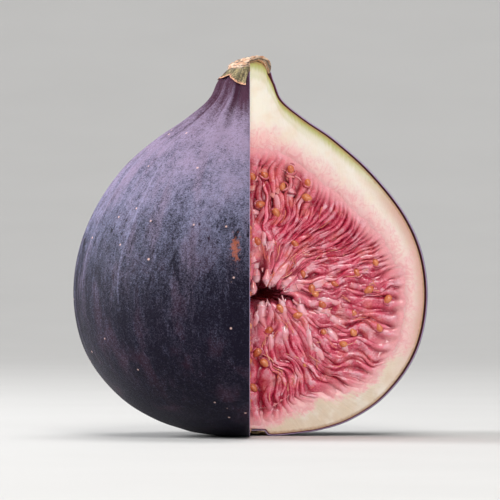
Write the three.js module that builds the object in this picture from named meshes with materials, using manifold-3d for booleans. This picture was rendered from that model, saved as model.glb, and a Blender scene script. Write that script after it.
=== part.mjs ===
// A fresh fig that stands on its base with its stalk up. The front right quarter is cut away from the stalk
// to the eye, so two flat cut faces show the skin, the white flesh and the pulp of florets and seeds.
// Millimetres, +Z up. The origin is the middle of the base, on the surface that the fig stands on.
import * as THREE from "three";
import { mergeGeometries, mergeVertices } from "three/addons/utils/BufferGeometryUtils.js";
import Module from "manifold-3d";

const wasm = await Module();
wasm.setup();

// Driving dimensions
const HEIGHT = 58.7;
const WIDEST_RADIUS = 27.2;
const FLAT_RADIUS = 8.5;
const SKIN_THICKNESS = 0.7;
const PIECE_GAP = 0.3;
const NECK_TOP = 54.4;
const CRUST_THICKNESS = 1.3;
const EYE_RADIUS = 2.7;
const EYE_DEPTH = 0.8;
const EYE_SCALES = 7;
const FURROW_DEPTH = 1.0;
const FLORETS = 52;
const COLUMNS_PER_FLORET = 3;
const SEED_RADIUS = 0.78;
const SEEDED_SHARE = 0.65;

// Where each floret is measured, from its root at 1 to the hollow at 0
const FLORET_STEPS = [1, 0.95, 0.89, 0.8, 0.69, 0.57, 0.45, 0.32, 0.18, 0];

// How far the florets wave, as a share of the pulp's edge, and how near the axis the cut faces start to meet
const WAVE_SHARE = 0.012;
const CORNER_REACH = 6;

// Ribs and folds fade out within this radius, where the outline runs to the axis
const FULL_SWELL_RADIUS = 3;

// Sides of the turned forms, and the smallest detail and shortest edge that are kept when they are fused
const SKIN_SIDES = 56;
const INNER_SIDES = 28;
const BACK_SIDES = 14;
const SMALLEST_DETAIL = 0.03;
const SHORTEST_EDGE = 0.01;

// The kept part of the turn about the axis, from the front cut face round the back to the side one
const KEPT_START = Math.PI / 2;
const KEPT_TURN = Math.PI * 1.5;

// The outline of the skin as shares of the widest radius and of the height, from the flat base to the neck
const SKIN_OUTLINE = [
  [0.386, 0.016], [0.55, 0.042], [0.728, 0.094], [0.879, 0.174], [0.967, 0.262], [1.0, 0.373],
  [0.967, 0.487], [0.868, 0.593], [0.699, 0.698], [0.511, 0.777], [0.346, 0.83], [0.212, 0.881],
  [0.163, 0.925], [0.138, 0.955], [0.128, 0.985],
];

// The outline of the pulp where its florets root in the flesh, from the eye to under the neck
const PULP_OUTLINE = [
  [0.0, 0.058], [0.11, 0.062], [0.26, 0.088], [0.48, 0.112], [0.69, 0.158], [0.828, 0.24],
  [0.875, 0.344], [0.852, 0.43], [0.735, 0.52], [0.545, 0.61], [0.385, 0.676], [0.2, 0.738], [0.0, 0.757],
];

// The small hollow in the middle, between the tips of the florets: its centre and half sizes
const HOLLOW = [1.5, -1.4, 21.8];
const HOLLOW_SIZE = [4.0, 3.9, 1.6];

const COLOURS = { skin: 0x5b5270, flesh: 0xf0e2cc, pulp: 0xc2465c, stalk: 0x8a7350 };

// Repeatable random numbers from 0 to 1
function randomFrom(seed) {
  let state = seed;
  return () => {
    state = (Math.imul(state, 1664525) + 1013904223) >>> 0;
    return state / 4294967296;
  };
}

function smooth(low, high, value) {
  const t = Math.min(1, Math.max(0, (value - low) / (high - low)));
  return t * t * (3 - 2 * t);
}

// Solids

function solidFrom(geometry, weld = 1e-4) {
  const bare = new THREE.BufferGeometry().setIndex(geometry.index);
  bare.setAttribute("position", geometry.attributes.position);
  const merged = mergeVertices(bare, weld);
  const corners = merged.index.array;
  const kept = [];
  for (let i = 0; i < corners.length; i += 3) {
    const [a, b, c] = corners.subarray(i, i + 3);
    if (a !== b && b !== c && c !== a) kept.push(a, b, c);
  }
  const vertProperties = merged.attributes.position.array;
  return new wasm.Manifold(new wasm.Mesh({ numProp: 3, vertProperties, triVerts: new Uint32Array(kept) }));
}

function geometryFrom(solid) {
  const { vertProperties, triVerts } = solid.getMesh();
  const geometry = new THREE.BufferGeometry();
  geometry.setAttribute("position", new THREE.BufferAttribute(vertProperties, 3));
  geometry.setIndex(new THREE.BufferAttribute(triVerts, 1));
  return geometry;
}

function meshFrom(name, solid) {
  const geometry = geometryFrom(solid);
  geometry.computeVertexNormals();
  const material = new THREE.MeshStandardMaterial({ color: COLOURS[name], roughness: 0.6, metalness: 0 });
  const mesh = new THREE.Mesh(geometry, material);
  mesh.name = name;
  return mesh;
}

// The largest body of a fused solid, without its smallest detail and with sealed hollows filled
function mainBody(solid) {
  const welded = solidFrom(geometryFrom(solid.simplify(SMALLEST_DETAIL)), SHORTEST_EDGE);
  const bodies = welded.decompose().filter((body) => body.volume() > 0);
  return bodies.reduce((best, body) => (body.volume() > best.volume() ? body : best));
}

// A block from one corner to the other
function block(low, high) {
  const size = high.map((value, axis) => value - low[axis]);
  const middle = high.map((value, axis) => (value + low[axis]) / 2);
  return solidFrom(new THREE.BoxGeometry(...size).translate(...middle));
}

// The quarter that is cut away
function awayQuarter() {
  return block([0, -HEIGHT, -HEIGHT], [HEIGHT, 0, 2 * HEIGHT]);
}

// A surface turned about the axis from [radius, height] points; moved says where each point ends up
function lathe(profile, sides, moved, start = 0, turn = Math.PI * 2) {
  const points = profile.map(([radius, height]) => new THREE.Vector2(radius, height));
  const geometry = new THREE.LatheGeometry(points, sides, start, turn).rotateX(Math.PI / 2);
  const position = geometry.attributes.position;
  for (let i = 0; i < position.count; i++) {
    const [x, y, z] = [position.getX(i), position.getY(i), position.getZ(i)];
    position.setXYZ(i, ...moved(Math.hypot(x, y), Math.atan2(y, x), z));
  }
  return geometry;
}

function turned(profile, sides, moved) {
  return solidFrom(lathe(profile, sides, moved));
}

// Points spread evenly on a smooth curve through [radius, height] points
function smoothProfile(points, steps) {
  const curve = new THREE.SplineCurve(points.map(([radius, height]) => new THREE.Vector2(radius, height)));
  return curve.getSpacedPoints(steps).map((point) => [point.x, point.y]);
}

// The same profile moved inwards by a distance, square to itself
function inset(profile, distance) {
  return profile.map((point, i) => {
    const before = profile[Math.max(0, i - 1)];
    const after = profile[Math.min(profile.length - 1, i + 1)];
    const along = [after[0] - before[0], after[1] - before[1]];
    const length = Math.hypot(...along);
    return [point[0] - (distance * along[1]) / length, point[1] + (distance * along[0]) / length];
  });
}

// Form of the whole fruit

// How far the fruit leans along X at a height: to the left at its shoulder and to the right near its base
function lean(z) {
  const shoulder = -0.85 * Math.exp(-(((z - 44) / 9) ** 2));
  const belly = 0.85 * smooth(0, 1.5, z) * Math.exp(-z / 7);
  return shoulder + belly - 0.4 * smooth(46, 52, z);
}

// Faint ribs from the base to the shoulder
function ribs(angle, z) {
  const strength = 0.16 * smooth(1, 12, z) * (1 - smooth(40, 50, z));
  return strength * (Math.cos(5 * angle + 1.1) + 0.7 * Math.cos(8 * angle));
}

// Folds that gather the skin round the neck
function folds(angle, z) {
  return 0.22 * smooth(38, 52, z) * (Math.cos(9 * angle + 0.6) + 0.5 * Math.cos(14 * angle + 2.0));
}

const skinSide = [
  [FLAT_RADIUS, 0],
  ...SKIN_OUTLINE.map(([radius, height]) => [radius * WIDEST_RADIUS, height * HEIGHT]),
];
const sideProfile = smoothProfile(skinSide, 25);

// The fruit at a depth under its surface, cut flat at the top and narrower where the stalk holds it
function fruitInside(depth, top) {
  const narrowing = (z) => 0.45 * smooth(NECK_TOP - 2, NECK_TOP + 1, z);
  const side = inset(sideProfile, depth).map(([radius, z]) => [radius - narrowing(z), z]);
  const base = [[0, EYE_DEPTH + depth], [FLAT_RADIUS * 0.8, EYE_DEPTH + depth]];
  return turned([...base, ...closedAt(side, top)], INNER_SIDES, (radius, angle, z) => {
    return fruitPoint(radius, ribs(angle, z), angle, z);
  });
}

// The outside of the fruit, with the shallow recess of the eye in its base
function fruitOutside() {
  const base = [[0, EYE_DEPTH], [EYE_RADIUS * 0.7, EYE_DEPTH], [EYE_RADIUS, 0]];
  return turned([...base, ...closedAt(sideProfile, NECK_TOP)], SKIN_SIDES, (radius, angle, z) => {
    return fruitPoint(radius, ribs(angle, z) + folds(angle, z), angle, z);
  });
}

// The profile up to a height, where it runs flat to the axis
function closedAt(side, top) {
  const lastStep = 0.4;
  const below = side.filter(([, z]) => z < top - lastStep);
  const [radius] = side.find(([, z]) => z >= top - lastStep) ?? side[side.length - 1];
  return [...below, [radius, top], [0, top]];
}

function fruitPoint(radius, swell, angle, z) {
  const reach = radius + swell * Math.min(1, radius / FULL_SWELL_RADIUS);
  return [reach * Math.cos(angle) + lean(z), reach * Math.sin(angle), z];
}

// Skin, with small scales round the eye in the base

function eyeScales() {
  const scale = new THREE.ConeGeometry(0.85, 1.9, 5).scale(1, 1, 0.32).rotateZ(Math.PI / 2);
  scale.translate(1.45, 0, EYE_DEPTH - 0.12);
  return Array.from({ length: EYE_SCALES }, (_, i) => {
    return solidFrom(scale.clone().rotateZ(((i + 0.3) / EYE_SCALES) * Math.PI * 2));
  });
}

function makeSkin() {
  const shell = fruitOutside().subtract(fruitInside(SKIN_THICKNESS, NECK_TOP + 1));
  return mainBody(wasm.Manifold.union([shell, ...eyeScales()]).subtract(awayQuarter()));
}

// White flesh, from the base up through the neck

function makeFlesh() {
  const outside = fruitInside(SKIN_THICKNESS + PIECE_GAP, HEIGHT - CRUST_THICKNESS - PIECE_GAP);
  return mainBody(outside.subtract(pulpRoom()).subtract(awayQuarter()));
}

// Pulp

const pulpCurve = new THREE.SplineCurve(
  PULP_OUTLINE.map(([radius, height]) => new THREE.Vector2(radius * WIDEST_RADIUS, height * HEIGHT)),
);

// The pulp's edge on a cut face, from its bottom at 0 to its top at 1
function pulpEdge(along) {
  const point = pulpCurve.getPointAt(Math.min(1, Math.max(0, along)));
  return [along <= 0 || along >= 1 ? 0 : Math.max(point.x, 0.05), point.y];
}

function pulpProfile(steps) {
  return Array.from({ length: steps + 1 }, (_, i) => pulpEdge(i / steps));
}

function upright(radius, angle, z) {
  return [radius * Math.cos(angle), radius * Math.sin(angle), z];
}

// The room for the pulp in the flesh
function pulpRoom() {
  const profile = inset(pulpProfile(18), -PIECE_GAP);
  profile[0][0] = 0;
  profile[profile.length - 1][0] = 0;
  return turned(profile, INNER_SIDES, upright);
}

// A point at a depth under the front cut face, or under the side one for a distance below 0 from the axis.
// Near the axis it moves over, so that the two faces meet behind their corner
function underFace(distance, height, depth) {
  const along = Math.abs(distance);
  const shifted = along - depth * Math.max(0, 1 - along / CORNER_REACH);
  return distance < 0 ? [-depth, -shifted, height] : [shifted, depth, height];
}

// A point on the cut faces, from the pulp's edge at inward 0 to the hollow at inward 1. Around goes from 0
// to 1 up the front edge and down the side one, and the florets wave on their way in
function facePoint(around, inward) {
  const awayFromCorner = Math.abs(Math.sin(2 * Math.PI * around));
  const wave = WAVE_SHARE * Math.sin(10 * inward + 18 * Math.PI * around) * awayFromCorner;
  const turn = around + wave * smooth(0, 0.3, inward);
  const front = around < 0.5;
  const [edge, height] = pulpEdge(front ? turn * 2 : 2 - turn * 2);
  return [(front ? edge : -edge) * (1 - inward), height + (HOLLOW[2] - height) * inward];
}

// Depth of the pulp under the plane of the cut: the backs of the florets lie at different depths, with
// furrows between them, and they end near the hollow
function faceDepth(florets, column, inward) {
  const { lie, reach } = florets[Math.floor(column / COLUMNS_PER_FLORET)];
  const back = column % COLUMNS_PER_FLORET === 0 ? 1 : lie;
  const depth = FURROW_DEPTH * smooth(0, 0.16, inward);
  return depth * (back + (1 - back) * smooth(reach, reach + 0.1, inward));
}

function seedSolid(around, inward, turn) {
  const seed = new THREE.IcosahedronGeometry(SEED_RADIUS, 0).scale(1, 1, 1.3).rotateX(turn).rotateY(turn);
  return solidFrom(seed.translate(...underFace(...facePoint(around, inward), SEED_RADIUS * 0.55)));
}

function makePulp() {
  const random = randomFrom(11);
  const florets = Array.from({ length: FLORETS }, () => ({
    lie: 0.1 + 0.35 * random(),
    reach: 0.55 + 0.3 * random(),
    seedAt: 0.15 + 0.55 * random(),
    seeded: random() < SEEDED_SHARE,
    turn: random() * Math.PI,
  }));
  const columns = FLORETS * COLUMNS_PER_FLORET;
  const faces = lathe(FLORET_STEPS.map((share) => [share, 0]), columns, (share, angle) => {
    const column = (Math.round((angle / (Math.PI * 2)) * columns) + columns) % columns;
    return underFace(...facePoint(column / columns, 1 - share), faceDepth(florets, column, 1 - share));
  });
  const back = lathe(pulpProfile(columns / 2), BACK_SIDES, upright, KEPT_START, KEPT_TURN);
  const seeds = florets.flatMap(({ seedAt, seeded, turn }, i) => {
    return seeded ? [seedSolid((i + 0.66) / FLORETS, seedAt, turn)] : [];
  });
  const hollow = solidFrom(new THREE.SphereGeometry(1, 14, 8).scale(...HOLLOW_SIZE).translate(...HOLLOW));
  const body = solidFrom(mergeGeometries([faces, back]));
  return mainBody(wasm.Manifold.union([body, ...seeds]).subtract(hollow));
}

// Stalk: the dried stub where the fig was picked, with a torn scale round it

// Its top slopes down to the left, and the lower edge of the scale hangs in lobes
function stalkForm(radius, angle, z) {
  const left = (1 - Math.cos(angle)) / 2;
  const wide = radius * (1 + 0.22 * left) + (radius > 1 ? 0.12 * Math.cos(7 * angle) : 0);
  const x = wide * Math.cos(angle);
  const upper = smooth(NECK_TOP + 0.5, HEIGHT - 0.8, z);
  const slope = 0.3 * Math.min(0, x - 1.2) * upper;
  const hang = radius > 3.3 ? 0.35 * Math.cos(5 * angle + 0.8) * (1 - upper) : 0;
  return [x + lean(NECK_TOP), wide * Math.sin(angle), z + slope + hang];
}

function makeStalk() {
  const low = NECK_TOP + PIECE_GAP + 0.4;
  const profile = [
    [0, low], [2.2, low], [3.4, low], [3.75, low + 0.15], [3.6, low + 0.7], [3.1, low + 1.3],
    [3.05, HEIGHT - 1.1], [3.15, HEIGHT - 0.6], [2.8, HEIGHT - 0.15], [2.0, HEIGHT], [1.0, HEIGHT - 0.25],
    [0, HEIGHT - 0.3],
  ];
  const stub = turned(profile, INNER_SIDES, stalkForm);
  const neck = fruitInside(SKIN_THICKNESS, HEIGHT - CRUST_THICKNESS);
  return mainBody(stub.subtract(neck).subtract(awayQuarter()));
}

const fig = new THREE.Group();
fig.add(
  meshFrom("skin", makeSkin()),
  meshFrom("flesh", makeFlesh()),
  meshFrom("pulp", makePulp()),
  meshFrom("stalk", makeStalk()),
);

export default fig;
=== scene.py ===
"""A fresh fig that stands on its base with its front right quarter cut away from the stalk to the eye.

Lengths are millimetres until a mesh is made, and +Z is up. The cut leaves two faces: the front one lies in
the plane y = 0 to the right of the axis, and the side one in the plane x = 0 in front of it.
"""

import logging
import math
from dataclasses import dataclass
from enum import Enum
from typing import Callable, Optional, Sequence, Union

import bmesh
import bpy
import numpy as np
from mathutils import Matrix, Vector, noise


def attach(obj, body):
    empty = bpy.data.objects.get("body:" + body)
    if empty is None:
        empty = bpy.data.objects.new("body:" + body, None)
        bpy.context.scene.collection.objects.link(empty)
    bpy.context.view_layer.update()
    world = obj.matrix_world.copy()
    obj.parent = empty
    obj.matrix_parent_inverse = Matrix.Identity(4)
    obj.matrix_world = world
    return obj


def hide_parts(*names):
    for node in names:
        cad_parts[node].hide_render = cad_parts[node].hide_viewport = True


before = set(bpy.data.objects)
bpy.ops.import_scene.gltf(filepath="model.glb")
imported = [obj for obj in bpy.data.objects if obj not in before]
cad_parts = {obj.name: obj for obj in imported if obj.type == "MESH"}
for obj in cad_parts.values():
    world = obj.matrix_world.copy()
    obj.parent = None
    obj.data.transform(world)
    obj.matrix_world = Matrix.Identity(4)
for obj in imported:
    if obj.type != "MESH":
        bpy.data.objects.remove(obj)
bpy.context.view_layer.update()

LOG = logging.getLogger("fig")
MM = 0.001
Colour = tuple[float, float, float]
KEPT_TURN = 1.5 * math.pi
ANY_TURN = 6.28


# Numbers and points


class Face(Enum):
    """The two flat faces that the cut leaves, with the side of the axis that each is on."""

    FRONT = 1
    SIDE = -1

    @property
    def outward(self) -> tuple[float, float, float]:
        """The direction that the face looks in."""
        return (0.0, -1.0, 0.0) if self is Face.FRONT else (1.0, 0.0, 0.0)

    @property
    def word(self) -> str:
        """The face's name in lower case."""
        return self.name.lower()


class Draws:
    """Repeatable random numbers."""

    FACTOR = 1664525
    ADDED = 1013904223
    SPAN = 4294967296

    def __init__(self, seed: int) -> None:
        """Starts the numbers from a seed."""
        self.state = seed

    def draw(self) -> float:
        """The next number from 0 to 1."""
        self.state = (self.state * self.FACTOR + self.ADDED) % self.SPAN
        return self.state / self.SPAN

    def between(self, low: float, high: float) -> float:
        """The next number between two limits."""
        return low + (high - low) * self.draw()


def smooth(low: float, high: float, value: np.ndarray) -> np.ndarray:
    """A soft step.

    Args:
        low: where the step starts.
        high: where it ends.
        value: the values to step.

    Returns:
        0 below low, 1 above high and a soft rise between.
    """
    share = np.clip((np.asarray(value, dtype=float) - low) / (high - low), 0.0, 1.0)
    return share * share * (3.0 - 2.0 * share)


def band(low: float, full: float, fall: float, high: float, value: np.ndarray) -> np.ndarray:
    """A soft step up between the first two limits times a soft step down between the last two."""
    return smooth(low, full, value) * (1.0 - smooth(fall, high, value))


def pattern_shift(seed: float) -> Vector:
    """The move that a seed makes to another part of a random pattern."""
    return Vector((seed * 7.31, seed * 3.17, seed * 5.71))


def grain(points: np.ndarray, size: float, seed: float) -> np.ndarray:
    """Soft random values over points.

    Args:
        points: (n, 3) points.
        size: how far apart the grains are, in the points' own unit.
        seed: moves to another part of the pattern.

    Returns:
        One value for each point, about -1 to 1.
    """
    shift = pattern_shift(seed)
    return np.array([noise.noise(Vector(point) / size + shift) for point in points])


def drift(points: np.ndarray, size: float, seed: float) -> np.ndarray:
    """Soft random moves in the plane.

    Args:
        points: (n, 2) points.
        size: how far apart the moves change.
        seed: moves to another part of the pattern.

    Returns:
        (n, 2) moves, about -1 to 1.
    """
    shift = pattern_shift(seed)
    moves = [noise.noise_vector(Vector((u / size, v / size, 0.0)) + shift) for u, v in points]
    return np.array([(move[0], move[1]) for move in moves])


def sideways(line: np.ndarray) -> np.ndarray:
    """The unit direction to the left of a line, at each of its points."""
    along = np.gradient(line, axis=0)
    along /= np.maximum(np.hypot(along[:, :1], along[:, 1:]), 1e-9)
    return np.stack([-along[:, 1], along[:, 0]], axis=-1)


def rounded(left: np.ndarray, length: float, least: float) -> np.ndarray:
    """The shape of a tube's round end.

    Args:
        left: how far away the end is.
        length: how far from the end the tube starts to narrow.
        least: the smallest share of that length that counts.

    Returns:
        The tube's thickness as a share of the full one.
    """
    return np.sqrt(np.clip(1.0 - (1.0 - np.clip(left / length, least, 1.0)) ** 2, 0.0, 1.0))


class Outline:
    """A smooth line through points of radius and height, measured along its length."""

    def __init__(self, line: np.ndarray) -> None:
        """Measures a line of closely spaced points."""
        self.line = line
        steps = np.hypot(*np.diff(line, axis=0).T)
        self.lengths = np.concatenate([[0.0], np.cumsum(steps)])

    @classmethod
    def through(cls, points: Sequence[tuple[float, float]], steps: int = 16) -> "Outline":
        """Lays a smooth line through points.

        Args:
            points: the points, in order.
            steps: how many steps lie between two of them.

        Returns:
            The line.
        """
        knots = np.array([points[0], *points, points[-1]], dtype=float)
        share = np.linspace(0.0, 1.0, steps, endpoint=False)[:, None]
        pieces = []
        for before, start, end, after in zip(knots, knots[1:], knots[2:], knots[3:]):
            leave, arrive = (end - before) / 2, (after - start) / 2
            pieces.append(
                (2 * start - 2 * end + leave + arrive) * share**3
                + (-3 * start + 3 * end - 2 * leave - arrive) * share**2
                + leave * share
                + start
            )
        return cls(np.vstack([*pieces, knots[-1:]]))

    def at(self, shares: np.ndarray) -> np.ndarray:
        """Points at shares of the line's length.

        Args:
            shares: from 0 at its start to 1 at its end.

        Returns:
            (n, 2) points.
        """
        along = np.asarray(shares, dtype=float) * self.lengths[-1]
        return np.stack([np.interp(along, self.lengths, self.line[:, axis]) for axis in (0, 1)], axis=-1)

    def inset(self, distance: float) -> "Outline":
        """The same line moved to its left by a distance, which is inwards on the fruit."""
        return Outline(self.line + distance * sideways(self.line))


def under_face(face: Face, out: np.ndarray, height: np.ndarray, depth: np.ndarray) -> np.ndarray:
    """Points at a depth under a cut face.

    Near the axis they move over, so that the two faces meet behind their corner.

    Args:
        face: the cut face.
        out: distances from the axis.
        height: heights.
        depth: depths under the plane of the cut.

    Returns:
        (n, 3) points.
    """
    corner_reach = 6.0
    moved = out - depth * np.maximum(0.0, 1.0 - out / corner_reach)
    if face is Face.FRONT:
        return np.stack([moved, depth, height], axis=-1)
    return np.stack([-depth, -moved, height], axis=-1)


@dataclass(frozen=True)
class FigForm:
    """The form of the whole fruit, the same as the solids'."""

    height: float = 58.7
    widest: float = 27.17
    stand: float = 3.4
    eye: float = 2.7
    eye_depth: float = 0.8
    hollow: tuple[float, float] = (2.7, 21.8)
    side_points: tuple[tuple[float, float], ...] = (
        (0.386, 0.016), (0.55, 0.042), (0.728, 0.094), (0.879, 0.174), (0.967, 0.262), (1.0, 0.373),
        (0.967, 0.487), (0.868, 0.593), (0.699, 0.698), (0.511, 0.777), (0.346, 0.83), (0.212, 0.881),
        (0.163, 0.925), (0.126, 0.955),
    )
    pulp_points: tuple[tuple[float, float], ...] = (
        (0.0, 0.03), (0.065, 0.032), (0.125, 0.037), (0.2, 0.052), (0.265, 0.069), (0.34, 0.088),
        (0.45, 0.103), (0.577, 0.122), (0.69, 0.156), (0.828, 0.24), (0.875, 0.344), (0.852, 0.43),
        (0.735, 0.52), (0.545, 0.61), (0.385, 0.676), (0.2, 0.738), (0.0, 0.757),
    )

    def scaled(self, points: Sequence[tuple[float, float]]) -> list[tuple[float, float]]:
        """Points given as shares of the widest radius and the height, in millimetres."""
        return [(radius * self.widest, height * self.height) for radius, height in points]

    def skin_line(self) -> Outline:
        """The line of the skin from inside the eye to the top of the neck."""
        base = [(1.25, self.eye_depth), (1.9, self.eye_depth - 0.12), (self.eye, 0.1), (self.stand, 0.0),
                (5.2, 0.12), (7.8, 0.44)]
        line = Outline.through([*base, *self.scaled(self.side_points)])
        line.line[:, 1] = np.maximum(line.line[:, 1], 0.0)
        return line

    def pulp_line(self) -> Outline:
        """The line where the florets root in the flesh, from the bottom to the top."""
        line = Outline.through(self.scaled(self.pulp_points))
        line.line[:, 0] = np.maximum(line.line[:, 0], 0.0)
        return line

    def lean(self, height: np.ndarray) -> np.ndarray:
        """How far the fruit leans along X at heights."""
        shoulder = -0.85 * np.exp(-(((height - 44.0) / 9.0) ** 2))
        belly = 0.85 * smooth(0.0, 1.5, height) * np.exp(-height / 7.0)
        return shoulder + belly - 0.4 * smooth(46.0, 52.0, height) + 0.4 * smooth(54.4, 56.6, height)

    def swell(self, angle: np.ndarray, height: np.ndarray) -> np.ndarray:
        """How far the skin stands out at angles and heights.

        Args:
            angle: angles about the axis from +X, in radians.
            height: heights.

        Returns:
            The ribs, the folds at the neck and the long creases, in millimetres.
        """
        ribs = 0.16 * band(1.0, 12.0, 40.0, 50.0, height)
        swell = ribs * (np.cos(5.0 * angle + 1.1) + 0.7 * np.cos(8.0 * angle))
        folds = 0.22 * smooth(38.0, 52.0, height)
        swell = swell + folds * (np.cos(9.0 * angle + 0.6) + 0.5 * np.cos(14.0 * angle + 2.0))
        for middle, width, deep, low, high in self.creases():
            across = (angle - middle - 0.03 * np.sin(height / 5.0)) / width
            ends = band(low, low + 6.0, high - 8.0, high, height)
            swell = swell - deep * ends * (np.exp(-(across**2)) - 0.6 * np.exp(-((across - 1.9) ** 2)))
        return swell

    def creases(self) -> list[tuple[float, float, float, float, float]]:
        """Long creases in the skin: angle, half width in radians, depth, lowest and highest height."""
        draws = Draws(5)
        shown = [
            (3.852, 0.035, 0.16, 18.0, 47.0), (3.30, 0.03, 0.2, 12.0, 50.0), (3.47, 0.028, 0.15, 20.0, 53.0),
            (3.42, 0.1, 0.36, 42.0, 57.0), (3.8, 0.09, 0.3, 43.0, 57.0), (4.18, 0.1, 0.36, 42.0, 57.0),
            (4.5, 0.07, 0.24, 43.0, 57.0),
        ]
        hidden = [
            (0.3 + 0.29 * i, draws.between(0.028, 0.045), draws.between(0.08, 0.18),
             draws.between(8.0, 36.0), draws.between(46.0, 56.0))
            for i in range(9)
        ]
        return shown + hidden


# Meshes


def new_object(name: str, data: bpy.types.ID) -> bpy.types.Object:
    """Makes an object of a mesh, a light or a camera and puts it into the scene."""
    made = bpy.data.objects.new(name, data)
    bpy.context.collection.objects.link(made)
    return made


def new_piece(name: str, points: np.ndarray, faces: Sequence[Sequence[int]]) -> bpy.types.Object:
    """Makes a smooth shaded object of a mesh given in millimetres.

    Args:
        name: the piece's name.
        points: (n, 3) points.
        faces: the corners of each face.

    Returns:
        The object, at the origin.
    """
    mesh = bpy.data.meshes.new(name)
    mesh.from_pydata((np.asarray(points) * MM).tolist(), [], [list(face) for face in faces])
    mesh.polygons.foreach_set("use_smooth", [True] * len(mesh.polygons))
    return new_object(name, mesh)


def give_values(piece: bpy.types.Object, **values: np.ndarray) -> None:
    """Stores one number for each point of a piece under each name."""
    for name, numbers in values.items():
        layer = piece.data.attributes.new(name, "FLOAT", "POINT")
        layer.data.foreach_set("value", np.asarray(numbers, dtype=np.float32).ravel())


def ring_faces(rows: int, around: int) -> list[tuple[int, int, int, int]]:
    """The faces of a tube.

    Args:
        rows: how many rings of points the tube has.
        around: how many points each ring has.

    Returns:
        Four corners for each face.
    """
    faces = []
    for row in range(rows - 1):
        for i in range(around):
            nxt = (i + 1) % around
            base, above = row * around, (row + 1) * around
            faces.append((base + i, base + nxt, above + nxt, above + i))
    return faces


def closed_faces(rows: int, around: int) -> list[tuple[int, ...]]:
    """The faces of a tube that has a flat face at each end, from the same numbers as ring_faces."""
    last = (rows - 1) * around
    return ring_faces(rows, around) + [tuple(range(around))[::-1], tuple(range(last, last + around))]


def seal(piece: bpy.types.Object, sharp: float = 50.0) -> None:
    """Joins points that lie together and turns the faces of a closed piece outwards.

    Args:
        piece: the piece.
        sharp: edges that turn by more than this many degrees are shaded sharp.
    """
    same_place, no_length = 2e-6, 1e-7
    shell = bmesh.new()
    shell.from_mesh(piece.data)
    bmesh.ops.remove_doubles(shell, verts=shell.verts, dist=same_place)
    bmesh.ops.dissolve_degenerate(shell, edges=shell.edges, dist=no_length)
    bmesh.ops.recalc_face_normals(shell, faces=shell.faces)
    shell.to_mesh(piece.data)
    shell.free()
    piece.data.polygons.foreach_set("use_smooth", [True] * len(piece.data.polygons))
    piece.data.set_sharp_from_angle(angle=math.radians(sharp))


# Materials


Input = Union["Wire", float, tuple, str, bpy.types.Object]


class Wire:
    """The output of a node, which can be used in sums."""

    def __init__(self, board: "Board", socket: bpy.types.NodeSocket) -> None:
        """Holds an output of a node on a board."""
        self.board = board
        self.socket = socket

    def _sum(self, operation: str, first: Input, second: Input = 0.0) -> "Wire":
        """Adds one Math node."""
        return self.board.add("ShaderNodeMath", {"operation": operation}, {0: first, 1: second})

    def __add__(self, other: Input) -> "Wire":
        """The sum."""
        return self._sum("ADD", self, other)

    def __radd__(self, other: Input) -> "Wire":
        """The sum."""
        return self._sum("ADD", other, self)

    def __sub__(self, other: Input) -> "Wire":
        """The difference."""
        return self._sum("SUBTRACT", self, other)

    def __rsub__(self, other: Input) -> "Wire":
        """The difference."""
        return self._sum("SUBTRACT", other, self)

    def __mul__(self, other: Input) -> "Wire":
        """The product."""
        return self._sum("MULTIPLY", self, other)

    def __rmul__(self, other: Input) -> "Wire":
        """The product."""
        return self._sum("MULTIPLY", other, self)

    def __truediv__(self, other: Input) -> "Wire":
        """The quotient."""
        return self._sum("DIVIDE", self, other)

    def __rtruediv__(self, other: Input) -> "Wire":
        """The quotient."""
        return self._sum("DIVIDE", other, self)

    def __neg__(self) -> "Wire":
        """The same value with the other sign."""
        return self._sum("MULTIPLY", self, -1.0)

    def __pow__(self, power: float) -> "Wire":
        """The value raised to a power."""
        return self._sum("POWER", self, power)

    def at_least(self, other: Input) -> "Wire":
        """The larger of two values."""
        return self._sum("MAXIMUM", self, other)

    def size(self) -> "Wire":
        """The value without its sign."""
        return self._sum("ABSOLUTE", self)

    def sine(self) -> "Wire":
        """The sine of the value."""
        return self._sum("SINE", self)


class Board:
    """The nodes of one tree."""

    def __init__(self, tree: bpy.types.NodeTree) -> None:
        """Starts on an empty tree."""
        self.tree = tree
        tree.nodes.clear()

    def node(self, kind: str, settings: Optional[dict] = None,
             values: Optional[dict] = None) -> bpy.types.Node:
        """Adds one node.

        Args:
            kind: the node's type.
            settings: the node's own settings; stops are a ramp's positions and colours.
            values: a value or a wire for each input, by its name or number.

        Returns:
            The node.
        """
        node = self.tree.nodes.new(kind)
        for name, setting in (settings or {}).items():
            if name == "stops":
                self._set_stops(node.color_ramp, setting)
            else:
                setattr(node, name, setting)
        for key, value in (values or {}).items():
            socket = node.inputs[key]
            if isinstance(value, Wire):
                self.tree.links.new(value.socket, socket)
            elif isinstance(value, tuple) and socket.type == "RGBA":
                socket.default_value = (*value, 1.0)
            else:
                socket.default_value = value
        return node

    def add(self, kind: str, settings: Optional[dict] = None, values: Optional[dict] = None,
            output: Union[int, str] = 0) -> Wire:
        """Adds one node and gives one of its outputs.

        Args:
            kind: the node's type.
            settings: the node's own settings.
            values: a value or a wire for each input.
            output: the name or number of the output.

        Returns:
            The output.
        """
        return Wire(self, self.node(kind, settings, values).outputs[output])

    @staticmethod
    def _set_stops(ramp: bpy.types.ColorRamp, stops: Sequence[tuple[float, Colour]]) -> None:
        """Sets the positions and colours of a ramp."""
        while len(ramp.elements) < len(stops):
            ramp.elements.new(0.5)
        for element, (position, colour) in zip(ramp.elements, stops):
            element.position = position
            element.color = (*colour, 1.0)


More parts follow.
